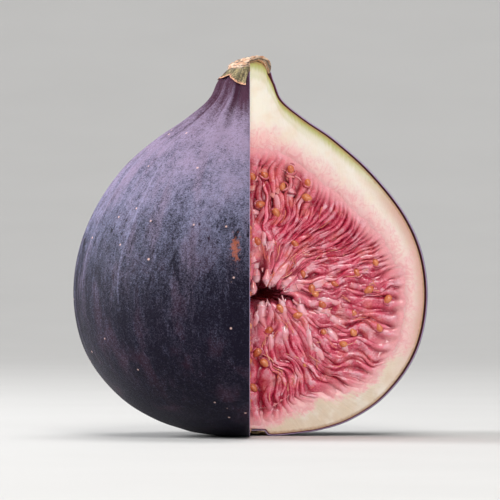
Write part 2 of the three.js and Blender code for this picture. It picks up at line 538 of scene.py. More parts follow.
class Paint(Board):
    """The nodes of one material."""

    def __init__(self, name: str) -> None:
        """Makes the material."""
        self.material = bpy.data.materials.new(name)
        self.material.use_nodes = True
        super().__init__(self.material.node_tree)

    def place(self) -> Wire:
        """The point that is painted, in millimetres."""
        point = self.add("ShaderNodeTexCoord", output="Object")
        return self.add("ShaderNodeVectorMath", {"operation": "SCALE"}, {0: point, "Scale": 1.0 / MM})

    def stored(self, name: str) -> Wire:
        """A number that the piece stores for each of its points."""
        return self.add("ShaderNodeAttribute", {"attribute_name": name}, output="Fac")

    def vector(self, operation: str, first: Input, second: Input, output: Union[int, str] = 0) -> Wire:
        """Adds one Vector Math node."""
        return self.add("ShaderNodeVectorMath", {"operation": operation}, {0: first, 1: second}, output)

    def length(self, point: Wire) -> Wire:
        """How far a point is from the origin."""
        return self.add("ShaderNodeVectorMath", {"operation": "LENGTH"}, {0: point}, output="Value")

    def point(self, first: Input, second: Input, third: Input = 0.0) -> Wire:
        """A point of three values."""
        return self.add("ShaderNodeCombineXYZ", None, {0: first, 1: second, 2: third})

    def noise(self, place: Wire, size: float, detail: float = 2.0, twist: float = 0.0) -> Wire:
        """Soft random values.

        Args:
            place: where the pattern is read.
            size: how far apart its grains are.
            detail: how many finer layers it has.
            twist: how much it is bent.

        Returns:
            Values about 0.5.
        """
        values = {"Vector": place, "Scale": 1.0 / size, "Detail": detail, "Roughness": 0.55,
                  "Distortion": twist}
        return self.add("ShaderNodeTexNoise", None, values)

    def cells(self, place: Wire, size: float) -> tuple[Wire, Wire]:
        """Scattered points.

        Args:
            place: where the pattern is read.
            size: how far apart the points are.

        Returns:
            The distance to the nearest one, in its own size, and a random value for each.
        """
        node = self.node("ShaderNodeTexVoronoi", None, {"Vector": place, "Scale": 1.0 / size})
        parts = self.add("ShaderNodeSeparateColor", None, {0: Wire(self, node.outputs["Color"])})
        return Wire(self, node.outputs["Distance"]), parts

    def step(self, low: float, high: float, value: Wire) -> Wire:
        """A soft step from 0 at low to 1 at high."""
        values = {"Value": value, "From Min": low, "From Max": high}
        return self.add("ShaderNodeMapRange", {"interpolation_type": "SMOOTHSTEP"}, values)

    def band(self, low: float, full: float, fall: float, high: float, value: Wire) -> Wire:
        """A soft step up between the first two limits times a soft step down between the last two."""
        return self.step(low, full, value) * (1.0 - self.step(fall, high, value))

    def ramp(self, value: Wire, stops: Sequence[tuple[float, Colour]]) -> Wire:
        """Colours laid along a value from 0 to 1."""
        return self.add("ShaderNodeValToRGB", {"stops": stops}, {0: value})

    def mix(self, share: Input, first: Input, second: Input) -> Wire:
        """A blend of two colours."""
        return self.add("ShaderNodeMix", {"data_type": "RGBA"}, {0: share, 6: first, 7: second}, output=2)

    def bump(self, height: Wire, deep: float, under: Optional[Wire] = None) -> Wire:
        """Small relief.

        Args:
            height: the relief from 0 to 1.
            deep: its depth in millimetres.
            under: relief that lies under it.

        Returns:
            The bent normal.
        """
        values: dict = {"Height": height, "Distance": deep * MM, "Strength": 1.0}
        if under is not None:
            values["Normal"] = under
        return self.add("ShaderNodeBump", None, values)

    def finish(self, colour: Input, rough: Input, normal: Optional[Wire] = None,
               **fixed: Input) -> bpy.types.Material:
        """Joins the surface to the material.

        Args:
            colour: its base colour.
            rough: its roughness.
            normal: its bent normal.
            fixed: other values of the surface, the same all over.

        Returns:
            The material.
        """
        values: dict = {"Base Color": colour, "Roughness": rough}
        values.update({name.replace("_", " "): value for name, value in fixed.items()})
        if normal is not None:
            values["Normal"] = normal
        surface = self.add("ShaderNodeBsdfPrincipled", None, values)
        self.node("ShaderNodeOutputMaterial", None, {"Surface": surface})
        return self.material


@dataclass(frozen=True)
class SkinFinish:
    """Dark skin under a pale waxy bloom that thins towards the base, with painted shade that darkens it
    towards the bottom.
    """

    # bare is the skin without bloom, made very dark so that it also holds painted shade towards the bottom
    bare: Colour = (0.005, 0.0032, 0.0125)
    plum: Colour = (0.024, 0.0065, 0.0175)
    neck: Colour = (0.06, 0.018, 0.04)
    eye: Colour = (0.17, 0.1, 0.045)
    bloom: Colour = (0.235, 0.235, 0.365)
    mauve: Colour = (0.26, 0.195, 0.29)
    top_bloom: Colour = (0.29, 0.225, 0.335)
    speck: Colour = (0.7, 0.46, 0.42)
    scar: Colour = (0.5, 0.13, 0.06)
    # rim: lilac on the rounded outer corner of the cut edge, partly the bloom and partly a painted highlight
    rim: Colour = (0.42, 0.33, 0.5)
    cut: Colour = (0.1, 0.022, 0.035)
    scar_place: tuple[float, float, float] = (-2.2, -27.0, 29.0)

    def material(self) -> bpy.types.Material:
        """Makes the material."""
        paint = Paint("fig_skin")
        turn, rise, under = paint.stored("turn"), paint.stored("rise"), paint.stored("under")
        place = paint.place()
        streak = paint.noise(paint.vector("MULTIPLY", place, (1.0, 1.0, 0.2)), 0.7, 3.0)
        blotch = paint.noise(paint.vector("MULTIPLY", place, (1.0, 1.0, 0.5)), 5.0, 4.0, 0.3)
        stain = paint.noise(paint.vector("MULTIPLY", place, (1.0, 1.0, 0.26)), 1.3, 2.0, 0.2)
        net = paint.noise(place, 0.36, 4.0, 1.5)
        fine = paint.noise(place, 0.2, 2.0)
        base = self._bloom_and_base_shade(paint, rise)
        # rim marks the left and back; the bloom's streaks are stronger there, partly real streaks and partly
        # painted sheen along the left edge
        rim = paint.step(0.15, 1.0, 1.0 - paint.step(2.95, 3.75, turn))
        thick = base + (blotch - 0.5) * (0.45 + 0.6 * base) + (streak - 0.5) * (0.3 + 0.6 * base + 1.1 * rim)
        thick = thick * (1.0 - self._stains(paint, stain, rise)) + self._ridges(paint, turn, rise) * 0.22
        folds = paint.noise(paint.point(turn * 7.0, rise / 14.0), 1.0, 4.0)
        thick = thick + (folds - 0.5) * (0.25 + 1.7 * paint.step(40.0, 50.0, rise))
        grains = (net - 0.5) * 2.6 + (fine - 0.5) * 1.8
        amount = paint.step(0.0, 1.1, thick + grains * (0.3 + 0.36 * base))
        bare = paint.mix(paint.step(0.5, 0.66, blotch) * 0.8, self.bare, self.plum)
        bare = paint.mix(paint.step(42.0, 53.0, rise), bare, self.neck)
        bloom = paint.mix(paint.step(30.0, 48.0, rise + (blotch - 0.5) * 14.0), self.bloom, self.top_bloom)
        bloom = paint.mix(paint.step(0.48, 0.64, folds) * 0.6, bloom, self.mauve)
        colour = paint.mix(amount, bare, bloom)
        colour = self._specks(paint, colour, place)
        from_axis = paint.length(paint.vector("MULTIPLY", place, (1.0, 1.0, 0.0)))
        in_eye = (1.0 - paint.step(2.3, 3.0, from_axis)) * (1.0 - paint.step(2.0, 3.0, rise))
        colour = paint.mix(in_eye, colour, self.eye)
        # Partly the bloom, partly a painted highlight: lilac where the cut edge rounds over to the outside
        colour = paint.mix(paint.step(0.08, 0.2, under) * 0.85, colour, self.rim)
        colour = paint.mix(paint.step(0.5, 0.62, under), colour, self.cut)
        relief = net * 0.65 + streak * 0.2 + fine * 0.15
        rough = 0.5 + 0.25 * amount
        return paint.finish(colour, rough, paint.bump(relief, 0.16), Specular_IOR_Level=0.1,
                            Subsurface_Weight=0.03, Subsurface_Scale=0.0006)

    def _stains(self, paint: Paint, stain: Wire, rise: Wire) -> Wire:
        """How much of the bloom long dark stains round the middle of the fruit take away."""
        return paint.step(0.6, 0.7, stain) * paint.band(12.0, 20.0, 31.0, 38.0, rise) * 0.85

    def _ridges(self, paint: Paint, turn: Wire, rise: Wire) -> Wire:
        """Thin pale lines on the ridges that run beside the long creases."""
        lines = []
        for middle, low, high in ((3.357, 12.0, 50.0), (3.523, 20.0, 52.0), (3.919, 18.0, 46.0)):
            away = (turn - middle - (rise / 5.0).sine() * 0.03).size()
            line = 1.0 - paint.step(0.002, 0.014, away)
            lines.append(line * paint.band(low, low + 6.0, high - 8.0, high, rise))
        return lines[0] + lines[1] + lines[2]

    def _bloom_and_base_shade(self, paint: Paint, rise: Wire) -> Wire:
        """How thick the bloom is at a height, from none at the base to full at the shoulder; its fall towards
        the base is partly the bloom thinning and partly painted shade, darker towards the bottom.
        """
        grey = [(0.0, 0.05), (0.2, 0.07), (0.33, 0.12), (0.45, 0.28), (0.56, 0.5), (0.68, 0.74), (0.79, 0.82),
                (0.83, 0.6), (0.88, 0.2), (0.93, 0.05), (1.0, 0.03)]
        stops = [(position, (value, value, value)) for position, value in grey]
        return paint.add("ShaderNodeSeparateColor", None, {0: paint.ramp(rise / FigForm.height, stops)})

    def _specks(self, paint: Paint, colour: Wire, place: Wire) -> Wire:
        """Adds the small pale specks, and the scar near the cut."""
        away, pick = paint.cells(place, 2.4)
        speck = (1.0 - paint.step(0.05, 0.1, away)) * paint.step(0.4, 0.5, pick)
        colour = paint.mix(speck * 0.9, colour, self.speck)
        spot = paint.vector("SUBTRACT", place, self.scar_place)
        away = paint.length(paint.vector("MULTIPLY", spot, (1.2, 0.3, 0.4)))
        ragged = (paint.noise(place, 0.5, 3.0) - 0.5) * 3.0
        return paint.mix((1.0 - paint.step(0.2, 1.0, away + ragged)) * 0.62, colour, self.scar)


@dataclass(frozen=True)
class FleshFinish:
    """Moist ivory flesh, pink near the pulp, green in the neck and tan under the skin."""

    ivory: Colour = (0.91, 0.86, 0.76)
    warm: Colour = (0.87, 0.75, 0.61)
    low: Colour = (0.72, 0.6, 0.44)
    side: Colour = (0.68, 0.41, 0.33)
    green: Colour = (0.46, 0.46, 0.1)
    tan: Colour = (0.4, 0.2, 0.08)
    blush: Colour = (0.88, 0.5, 0.5)
    vein: Colour = (0.78, 0.24, 0.28)
    root: Colour = (0.84, 0.3, 0.34)

    def material(self) -> bpy.types.Material:
        """Makes the material."""
        paint = Paint("fig_flesh")
        gap, wall, along = paint.stored("from_pulp"), paint.stored("from_skin"), paint.stored("along")
        height = paint.stored("rise")
        cloud = paint.noise(paint.place(), 3.2, 3.0)
        fibre = paint.noise(paint.point(along * 210.0, gap / 2.6), 1.0, 3.0)
        fine = paint.noise(paint.place(), 0.5, 2.0)
        low = 1.0 - paint.step(5.0, 18.0, height)
        colour = paint.mix(paint.step(0.4, 0.75, cloud), self.ivory, self.warm)
        colour = paint.mix(low * paint.step(0.25, 0.6, cloud) * 0.8, colour, self.low)
        beside = (1.0 - paint.step(34.0, 42.0, height)) * (1.0 - low) * (1.0 - paint.step(0.3, 3.4, wall))
        colour = paint.mix(beside, colour, self.side)
        ragged = wall + (fibre - 0.5) * 1.2
        neck = paint.step(33.0, 46.0, height) * (1.0 - paint.step(0.2, 2.2, ragged))
        colour = paint.mix(neck * 0.95, colour, self.green)
        line = (ragged - 2.2).size()
        vein = paint.step(42.0, 50.0, height) * (1.0 - paint.step(0.0, 0.9, line))
        colour = paint.mix(vein * 0.3, colour, self.green)
        under_skin = 1.0 - paint.step(0.02, 0.6, wall + (fine - 0.5) * 0.5)
        colour = paint.mix(under_skin * 0.8, colour, self.tan)
        spread = (gap + (cloud - 0.5) * 6.5 + (fibre - 0.5) * 1.8 + (fine - 0.5) * 1.6) * (1.0 + 1.6 * low)
        upper = paint.step(24.0, 36.0, height)
        blush = 1.0 - paint.step(-0.4, 4.4, spread * (1.0 - 0.15 * upper))
        colour = paint.mix(blush * 0.92, colour, self.blush)
        web = (paint.noise(paint.place(), 1.5, 3.0, 1.0) - 0.5).size()
        veins = (1.0 - paint.step(0.0, 0.07, web)) * (1.0 - paint.step(0.5, 4.4, spread))
        colour = paint.mix(veins * 0.4, colour, self.vein)
        root = 1.0 - paint.step(-2.4, 0.7, gap + (fibre - 0.5) * 2.4 + (fine - 0.5) * 1.2)
        colour = paint.mix(root, colour, self.root)
        relief = fibre * 0.6 + fine * 0.4
        return paint.finish(colour, 0.34 + 0.18 * fine, paint.bump(relief, 0.06), Subsurface_Weight=0.2,
                            Subsurface_Radius=(1.0, 0.55, 0.35), Subsurface_Scale=0.001, Coat_Weight=0.2,
                            Coat_Roughness=0.15)


@dataclass(frozen=True)
class PulpFinish:
    """Wet crimson pulp; its florets run from rose at the root to pale at the tip, with painted highlight on
    their crests and painted shade in their valleys and deeper down.
    """

    # deep is painted shade: the pulp darkens with depth under the cut faces
    deep: Colour = (0.16, 0.003, 0.016)
    # crimson is the florets' own deep red, also used as painted shade in their valleys
    crimson: Colour = (0.32, 0.004, 0.032)
    rose: Colour = (0.61, 0.028, 0.085)
    # light and pale are the florets' own pale colours, also used as painted highlight on their crests
    light: Colour = (0.88, 0.2, 0.29)
    pale: Colour = (0.9, 0.48, 0.56)
    orange: Colour = (0.85, 0.27, 0.15)
    lump: Colour = (0.86, 0.34, 0.27)
    # hollow is painted shade deep in the hollow
    hollow: Colour = (0.2, 0.011, 0.015)
    root: Colour = (0.88, 0.42, 0.43)
    warm_place: tuple[float, float, float] = (4.0, 0.0, 39.0)

    def floret(self) -> bpy.types.Material:
        """Makes the material of the florets."""
        paint = Paint("fig_florets")
        along, tone, crest = paint.stored("along"), paint.stored("tone"), paint.stored("crest")
        cloud = paint.noise(paint.place(), 1.7, 3.0)
        warm = paint.noise(paint.place(), 3.3, 2.0)
        fine = paint.noise(paint.place(), 0.28, 2.0)
        lines = paint.noise(paint.point(crest * 3.4 + tone * 60.0, along * 9.0), 1.0, 3.0)
        colour = paint.ramp(along, [
            (0.0, (0.88, 0.4, 0.42)), (0.07, (0.82, 0.25, 0.29)), (0.2, self.rose), (0.6, self.rose),
            (0.8, (0.78, 0.17, 0.24)), (1.0, self.light),
        ])
        glow = paint.vector("DISTANCE", paint.place(), self.warm_place, "Value")
        warm = warm + (1.0 - paint.step(1.0, 8.0, glow)) * 0.16
        rooted = paint.step(0.05, 0.25, along)
        colour = paint.mix(paint.step(0.5, 0.64, warm) * rooted * 0.45, colour, self.orange)
        colour = paint.mix(paint.step(0.5, 0.95, tone) * rooted * 0.6, colour, self.crimson)
        stain = paint.noise(paint.place(), 4.2, 2.0)
        colour = paint.mix(paint.step(0.5, 0.62, stain) * rooted * 0.4, colour, self.crimson)
        # Painted highlight: paler where the florets face out of the cut face
        top = paint.step(0.7, 1.04, crest + (fine - 0.5) * 0.5 + (cloud - 0.5) * 0.9 + (lines - 0.5) * 1.3)
        light = paint.mix(paint.step(0.46, 0.62, cloud), self.light, self.pale)
        colour = paint.mix(top * (1.0 - 0.75 * tone), colour, light)
        # Painted shade: crimson on the florets' sides and in the valleys between them
        valley_shade = 1.0 - paint.step(0.34, 0.98, crest + (lines - 0.5) * 0.5)
        colour = paint.mix(valley_shade * 0.97, colour, self.crimson)
        soft = 1.0 - paint.step(0.02, 0.12, along + (cloud - 0.5) * 0.16 + (fine - 0.5) * 0.1)
        colour = paint.mix(soft * 0.75, colour, self.root)
        # Painted shade: deep red with depth under the cut faces and dark maroon deep in the hollow
        sunk = self._sunk(paint)
        colour = paint.mix(paint.step(0.55, 1.3, sunk) * 0.85, colour, self.deep)
        colour = paint.mix(paint.step(1.8, 2.8, sunk), colour, self.hollow)
        relief = fine * 0.3 + cloud * 0.3 + lines * 0.4
        return paint.finish(colour, 0.2 + 0.16 * fine, paint.bump(relief, 0.1), Subsurface_Weight=0.12,
                            Subsurface_Radius=(1.0, 0.25, 0.25), Subsurface_Scale=0.0006, Coat_Weight=0.7,
                            Coat_Roughness=0.05)

    def _sunk(self, paint: Paint) -> Wire:
        """How deep a point lies under the cut faces, in millimetres."""
        parts = paint.node("ShaderNodeSeparateXYZ", None, {0: paint.place()})
        behind = Wire(paint, parts.outputs["Y"]).at_least(0.0)
        beside = (-Wire(paint, parts.outputs["X"])).at_least(0.0)
        return behind.at_least(beside)

    def tip(self) -> bpy.types.Material:
        """Makes the material of the pale tips round the hollow."""
        paint = Paint("fig_pale_tips")
        along, crest, tone = paint.stored("along"), paint.stored("crest"), paint.stored("tone")
        cloud = paint.noise(paint.place(), 1.0, 3.0)
        fine = paint.noise(paint.point(tone * 50.0, along * 3.0, crest * 4.0), 1.0, 3.0)
        colour = paint.ramp(along, [
            (0.0, self.rose), (0.35, (0.84, 0.3, 0.34)), (0.75, self.pale), (1.0, (0.9, 0.62, 0.64))])
        colour = paint.mix(paint.step(0.85, 0.95, tone) * 0.75, colour, self.lump)
        colour = paint.mix(paint.step(0.42, 0.62, cloud) * 0.6, colour, (0.8, 0.26, 0.28))
        colour = paint.mix(paint.step(0.55, 0.7, fine) * 0.45, colour, self.orange)
        # Painted shade: crimson on the tips' sides, where they turn away from the cut face
        colour = paint.mix((1.0 - paint.step(0.1, 0.85, crest)) * 0.9, colour, self.crimson)
        return paint.finish(colour, 0.22, paint.bump(cloud * 0.6 + fine * 0.4, 0.12), Subsurface_Weight=0.2,
                            Subsurface_Radius=(1.0, 0.4, 0.35), Subsurface_Scale=0.0008, Coat_Weight=0.8,
                            Coat_Roughness=0.07)

    def thread(self) -> bpy.types.Material:
        """Makes the material of the fine threads."""
        paint = Paint("fig_threads")
        colour = paint.mix(paint.stored("tone"), (0.72, 0.13, 0.08), (0.88, 0.42, 0.3))
        return paint.finish(colour, 0.25, Coat_Weight=0.6, Coat_Roughness=0.08)


@dataclass(frozen=True)
class SeedFinish:
    """Glossy orange tan seeds."""

    orange: Colour = (0.56, 0.11, 0.04)
    straw: Colour = (0.72, 0.24, 0.085)
    brown: Colour = (0.4, 0.06, 0.03)

    def material(self) -> bpy.types.Material:
        """Makes the material."""
        paint = Paint("fig_seeds")
        cloud = paint.noise(paint.place(), 0.7, 2.0)
        tone = paint.stored("tone")
        colour = paint.mix(paint.step(0.3, 0.7, cloud * 0.6 + tone * 0.4), self.orange, self.straw)
        colour = paint.mix(paint.step(0.6, 0.75, cloud) * 0.5, colour, self.brown)
        return paint.finish(colour, 0.2, paint.bump(cloud, 0.04), Subsurface_Weight=0.15,
                            Subsurface_Radius=(1.0, 0.5, 0.2), Subsurface_Scale=0.0005, Coat_Weight=0.9,
                            Coat_Roughness=0.06)


@dataclass(frozen=True)
class StalkFinish:
    """Dried stalk end: cream and tan where it was cut, olive and brown on its scale."""

    # cream is the cut end's own colour, also used as painted highlight on the crust's outer part
    cream: Colour = (0.9, 0.72, 0.53)
    tan: Colour = (0.44, 0.2, 0.075)
    flush: Colour = (0.6, 0.32, 0.2)
    olive: Colour = (0.15, 0.125, 0.05)
    # brown is the dried crust's own dark brown, also used as painted shade in its recesses and under its
    # overhang
    brown: Colour = (0.06, 0.035, 0.018)
    lip: Colour = (0.74, 0.36, 0.22)

    def crust(self) -> bpy.types.Material:
        """Makes the material of the cut end."""
        paint = Paint("fig_stalk_crust")
        outer, over, turn = paint.stored("outer"), paint.stored("over"), paint.stored("turn")
        cloud = paint.noise(paint.place(), 0.8, 3.0)
        fine = paint.noise(paint.place(), 0.2, 2.0)
        layer = paint.noise(paint.point(over * 19.0, turn * 1.7), 1.0, 2.0, 1.0)
        inside = paint.mix(paint.step(0.44, 0.56, layer), self.cream, self.tan)
        colour = paint.mix(paint.step(0.5, 0.9, outer + (cloud - 0.5) * 0.6) * 0.8, inside, self.flush)
        # Partly the crust's cream, partly a painted highlight on the raised parts of its outer side
        pale = paint.step(0.45, 0.6, cloud) * paint.step(0.3, 0.6, outer)
        colour = paint.mix(pale * 0.7, colour, self.cream)
        # Partly the crust's dark lines, partly painted shade in the low parts of its layered relief
        colour = paint.mix((1.0 - paint.step(0.4, 0.48, layer)) * 0.92, colour, self.brown)
        # Painted shadow: brown on the crust's outer wall, in the recess under its overhang just above the
        # scale
        low = paint.step(0.4, 0.46, over) * (1.0 - paint.step(0.52, 0.6, over + (cloud - 0.5) * 0.1))
        colour = paint.mix(low * 0.6, colour, self.brown)
        colour = paint.mix(paint.step(0.52, 0.66, fine) * 0.3, colour, self.brown)
        return paint.finish(colour, 0.6, paint.bump(cloud * 0.3 + layer * 0.6 + fine * 0.1, 0.35),
                            Subsurface_Weight=0.08, Subsurface_Scale=0.0006)

    def scale(self) -> bpy.types.Material:
        """Makes the material of the torn scale."""
        paint = Paint("fig_stalk_scale")
        edge, turn, height = paint.stored("edge"), paint.stored("turn"), paint.stored("rise")
        lines = paint.noise(paint.point(turn * 9.0, height / 3.0), 1.0, 3.0, 0.5)
        fine = paint.noise(paint.place(), 0.25, 2.0)
        # Partly the scale's own olive-tan, partly a painted highlight: lighter where the wrinkles stand up
        colour = paint.mix(paint.step(0.42, 0.62, lines), self.olive, (0.36, 0.28, 0.13))
        colour = paint.mix(paint.step(0.42, 0.62, fine) * 0.75, colour, self.brown)
        colour = paint.mix((1.0 - paint.step(0.05, 0.36, edge + (fine - 0.5) * 0.8)) * 0.9, colour, self.lip)
        return paint.finish(colour, 0.6, paint.bump(lines * 0.7 + fine * 0.3, 0.3))


# Pieces


def dress(piece: bpy.types.Object, node: str,
          material: Optional[bpy.types.Material] = None) -> None:
    """Gives a finished piece its material and its place in the frame, and reports it.

    Args:
        piece: the piece.
        node: the solid that it stands for.
        material: its material, if it has none yet.
    """
    if material is not None:
        piece.data.materials.clear()
        piece.data.materials.append(material)
    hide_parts(node)
    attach(piece, "root")
    LOG.info("%s: %d points, %d faces", piece.name, len(piece.data.vertices), len(piece.data.polygons))


@dataclass
class Skin:
    """The thin skin, from inside the eye up to the stalk, with rounded edges where it is cut."""

    form: FigForm
    finish: SkinFinish = SkinFinish()
    thickness: float = 0.34
    columns: int = 300
    inner_columns: int = 40
    rows: int = 150
    edge_rounding: float = 0.2
    edge_steps: tuple[tuple[float, float], ...] = (
        (0.15, 0.07), (0.38, 0.01), (0.6, 0.0), (0.82, 0.01), (1.0, 0.05),
    )

    def build(self) -> bpy.types.Object:
        """Builds the skin.

        Returns:
            The piece.
        """
        shares = np.linspace(0.0, 1.0, self.rows)
        line = self.form.skin_line()
        outer, inner = line.at(shares), self._inner_line(line).at(shares)
        rings = [self._ring(*start, *end) for start, end in zip(outer, inner)]
        points, under, turn = (np.concatenate(parts) for parts in zip(*rings))
        piece = new_piece("skin_peel", points, closed_faces(self.rows, len(rings[0][0])))
        give_values(piece, under=under, turn=turn, rise=points[:, 2])
        seal(piece)
        dress(piece, "skin", self.finish.material())
        return piece

    def _inner_line(self, line: Outline) -> Outline:
        """The skin's inner line, with its points across from the outer ones."""
        inner = line.inset(self.thickness)
        inner.lengths = line.lengths
        inner.line[:, 1] = np.maximum(inner.line[:, 1], self.thickness)
        return inner

    def _ring(self, radius: float, height: float, inner_radius: float,
              inner_height: float) -> tuple[np.ndarray, np.ndarray, np.ndarray]:
        """One closed ring: round the outside, over the side cut, round the inside and over the front cut.

        Args:
            radius: the outer radius.
            height: the outer height.
            inner_radius: the inner radius.
            inner_height: the inner height.

        Returns:
            The points, how far each lies under the outer surface from 0 to 1, and its angle.
        """
        points, under, turn = [], [], []
        for face, (out, up), columns, level, steps in (
            (Face.SIDE, (radius, height), self.columns, 0.0, self.edge_steps),
            (Face.FRONT, (inner_radius, inner_height), self.inner_columns, 1.0, self.edge_steps[::-1]),
        ):
            start, end = self._cut_angles(out, up, self.edge_rounding)[::face.value * -1]
            angle = np.linspace(start, end, columns)
            points.append(self._round_points(out, np.full_like(angle, up), angle))
            under.append(np.full_like(angle, level))
            turn.append(angle)
            for share, depth in steps:
                spot = radius + (inner_radius - radius) * share, height + (inner_height - height) * share
                points.append(self._cut_point(face, *spot, depth))
                under.append([share])
                turn.append([end])
        return np.vstack(points), np.concatenate(under), np.concatenate(turn)

    def _cut_angles(self, radius: float, height: float, depth: float) -> tuple[float, float]:
        """The angles at which a ring is a depth under the front and the side cut."""
        lean = float(self.form.lean(np.array(height)))
        front = math.asin(min(0.9, depth / radius))
        side = KEPT_TURN - math.asin(max(-0.9, min(0.9, (depth + lean) / radius)))
        return front, side

    def _round_points(self, radius: float, height: np.ndarray, angle: np.ndarray) -> np.ndarray:
        """Points of the fruit's round side."""
        full_swell = 3.0
        reach = radius + self.form.swell(angle, height) * min(1.0, radius / full_swell)
        across = reach * np.cos(angle) + self.form.lean(height)
        return np.stack([across, reach * np.sin(angle), height], axis=-1)

    def _cut_point(self, face: Face, radius: float, height: float, depth: float) -> np.ndarray:
        """A point on the cut edge of the skin, a depth under the plane of the cut."""
        front, side = self._cut_angles(radius, height, depth)
        angle = front if face is Face.FRONT else side
        point = self._round_points(radius, np.array([height]), np.array([angle]))
        point[0, 1 if face is Face.FRONT else 0] = depth * face.value
        return point


@dataclass
class CutFaces:
    """Lines shared by the flesh and the pulp: where the pulp's edge is on each cut face."""

    form: FigForm

    def __post_init__(self) -> None:
        """Measures the pulp's edge and the flesh's outside."""
        self.pulp = self.form.pulp_line()
        under_skin, lowest = 0.35, 0.34
        skin = self.form.skin_line().inset(under_skin)
        side = skin.line[skin.line[:, 0] > 1.6]
        narrowed = side[:, 0] - 0.24 * smooth(54.8, 56.0, side[:, 1])
        side = np.stack([narrowed, np.maximum(side[:, 1], lowest)], axis=-1)
        bottom = np.array([[0.0, 1.14], [1.0, 1.12]])
        top = np.array([[2.6, 56.7], [1.9, 57.4], [1.0, 57.68], [0.0, 57.7]])
        self.flesh = Outline(np.vstack([bottom, side, top]))

    def edge(self, face: Face, share: np.ndarray) -> tuple[np.ndarray, np.ndarray, np.ndarray]:
        """The pulp's edge on a face.

        Args:
            face: the cut face.
            share: from 0 at the bottom to 1 at the top.

        Returns:
            Its points, the unit direction from each out to the skin, and how far the skin is.
        """
        share = np.asarray(share, dtype=float)
        pulp, skin = self.pulp.at(share), self.flesh.at(share)
        across = skin - pulp
        room = np.hypot(across[:, 0], across[:, 1])
        outward = across / room[:, None]
        ends = np.clip(np.minimum(share, 1.0 - share) * 14.0, 0.0, 1.0)
        spots = np.stack([share * 75.0, np.full_like(share, 9.0 * face.value), np.zeros_like(share)], axis=-1)
        wander = (0.5 * grain(spots, 3.4, 2.0) + 0.28 * grain(spots, 1.3, 4.0)) * ends
        return pulp + outward * wander[:, None], outward, room - wander


@dataclass
class Flesh:
    """The white flesh between the skin and the pulp, moist and faintly ribbed where it is cut."""

    faces: CutFaces
    finish: FleshFinish = FleshFinish()
    rows: int = 230
    columns: int = 72
    lip_steps: tuple[float, ...] = (-2.4, -2.0, -1.6, -1.2, -0.8, -0.45, -0.15)
    across_steps: tuple[float, ...] = (0.04, 0.09, 0.16, 0.25, 0.36, 0.48, 0.6, 0.72, 0.83, 0.92, 0.97, 1.0)
    lip_depth: float = 0.75

    def build(self) -> bpy.types.Object:
        """Builds the flesh.

        Returns:
            The piece.
        """
        share = np.linspace(0.0, 1.0, self.rows)
        skin = self.faces.flesh.at(share)
        angle = np.linspace(0.0, KEPT_TURN, self.columns + 2)[1:-1]
        outside = self._sweep(skin, angle)
        side = self._cut(Face.SIDE, share)
        front = self._cut(Face.FRONT, share)
        inside = self._sweep(self._behind_lip(share), angle[::-1])
        rings = np.concatenate([outside, side[0][:, ::-1], inside, front[0]], axis=1)
        blank = np.full((self.rows, self.columns), 9.0)
        gap = np.concatenate([blank, side[1][:, ::-1], blank * 0.0 - 1.0, front[1]], axis=1)
        wall = np.concatenate([blank * 0.0, side[2][:, ::-1], blank, front[2]], axis=1)
        around = rings.shape[1]
        points = rings.reshape(-1, 3)
        piece = new_piece("flesh_white", points, ring_faces(self.rows, around))
        along = np.repeat(share, around)
        give_values(piece, from_pulp=gap, from_skin=wall, along=along, rise=points[:, 2])
        seal(piece, 60.0)
        dress(piece, "flesh", self.finish.material())
        return piece

    def _sweep(self, line: np.ndarray, angle: np.ndarray) -> np.ndarray:
        """Turns a line about the axis.

        Args:
            line: (rows, 2) radii and heights.
            angle: the angles to turn it to.

        Returns:
            (rows, angles, 3) points.
        """
        form = self.faces.form
        radius, height = line[:, :1], line[:, 1:]
        reach = radius + form.swell(angle[None, :], height) * np.minimum(1.0, radius / 6.0) * 0.8
        lean = form.lean(height) * np.minimum(1.0, radius / 3.0)
        height = np.broadcast_to(height, reach.shape)
        return np.stack([reach * np.cos(angle) + lean, reach * np.sin(angle), height], axis=-1)

    def _behind_lip(self, share: np.ndarray) -> np.ndarray:
        """The line of the flesh's inside, behind the lip of the cut."""
        edge, outward, _ = self.faces.edge(Face.FRONT, share)
        line = edge + outward * self.lip_steps[0]
        line[:, 0] = np.maximum(line[:, 0], 0.0)
        line[[0, -1], 0] = 0.0
        return line

    def _cut(self, face: Face, share: np.ndarray) -> tuple[np.ndarray, np.ndarray, np.ndarray]:
        """One cut face from its lip inside the pulp to the skin.

        Args:
            face: the cut face.
            share: where each row is along the pulp's edge.

        Returns:
            (rows, steps, 3) points, and how far each is from the pulp's edge and from the skin.
        """
        edge, outward, room = self.faces.edge(face, share)
        lean = self.faces.form.lean(self.faces.flesh.at(share)[:, 1])
        steps = [np.full_like(room, step) for step in self.lip_steps]
        steps += [room * step for step in self.across_steps]
        points = []
        for step in steps:
            spot = edge + outward * step[:, None]
            out = np.maximum(spot[:, 0], 0.0)
            shift = lean * np.clip(step / room, 0.0, 1.0) * np.minimum(1.0, out / 3.0)
            out = out + (shift if face is Face.FRONT else 0.0)
            out[[0, -1]] = 0.0
            place = np.stack([out * face.value, spot[:, 1], np.zeros_like(out)], axis=-1)
            rough = 0.03 + 0.09 * (1.0 - smooth(-0.6, 1.0, step))
            wave = 0.05 * grain(place, 2.3, 1.0) + rough * grain(place, 0.9, 6.0)
            depth = self.lip_depth * (1.0 - smooth(-2.8, 1.2, step)) + 0.05 + wave
            points.append(under_face(face, out, spot[:, 1], depth))
        gap = np.stack(steps, axis=1)
        return np.stack(points, axis=1), gap, room[:, None] - gap


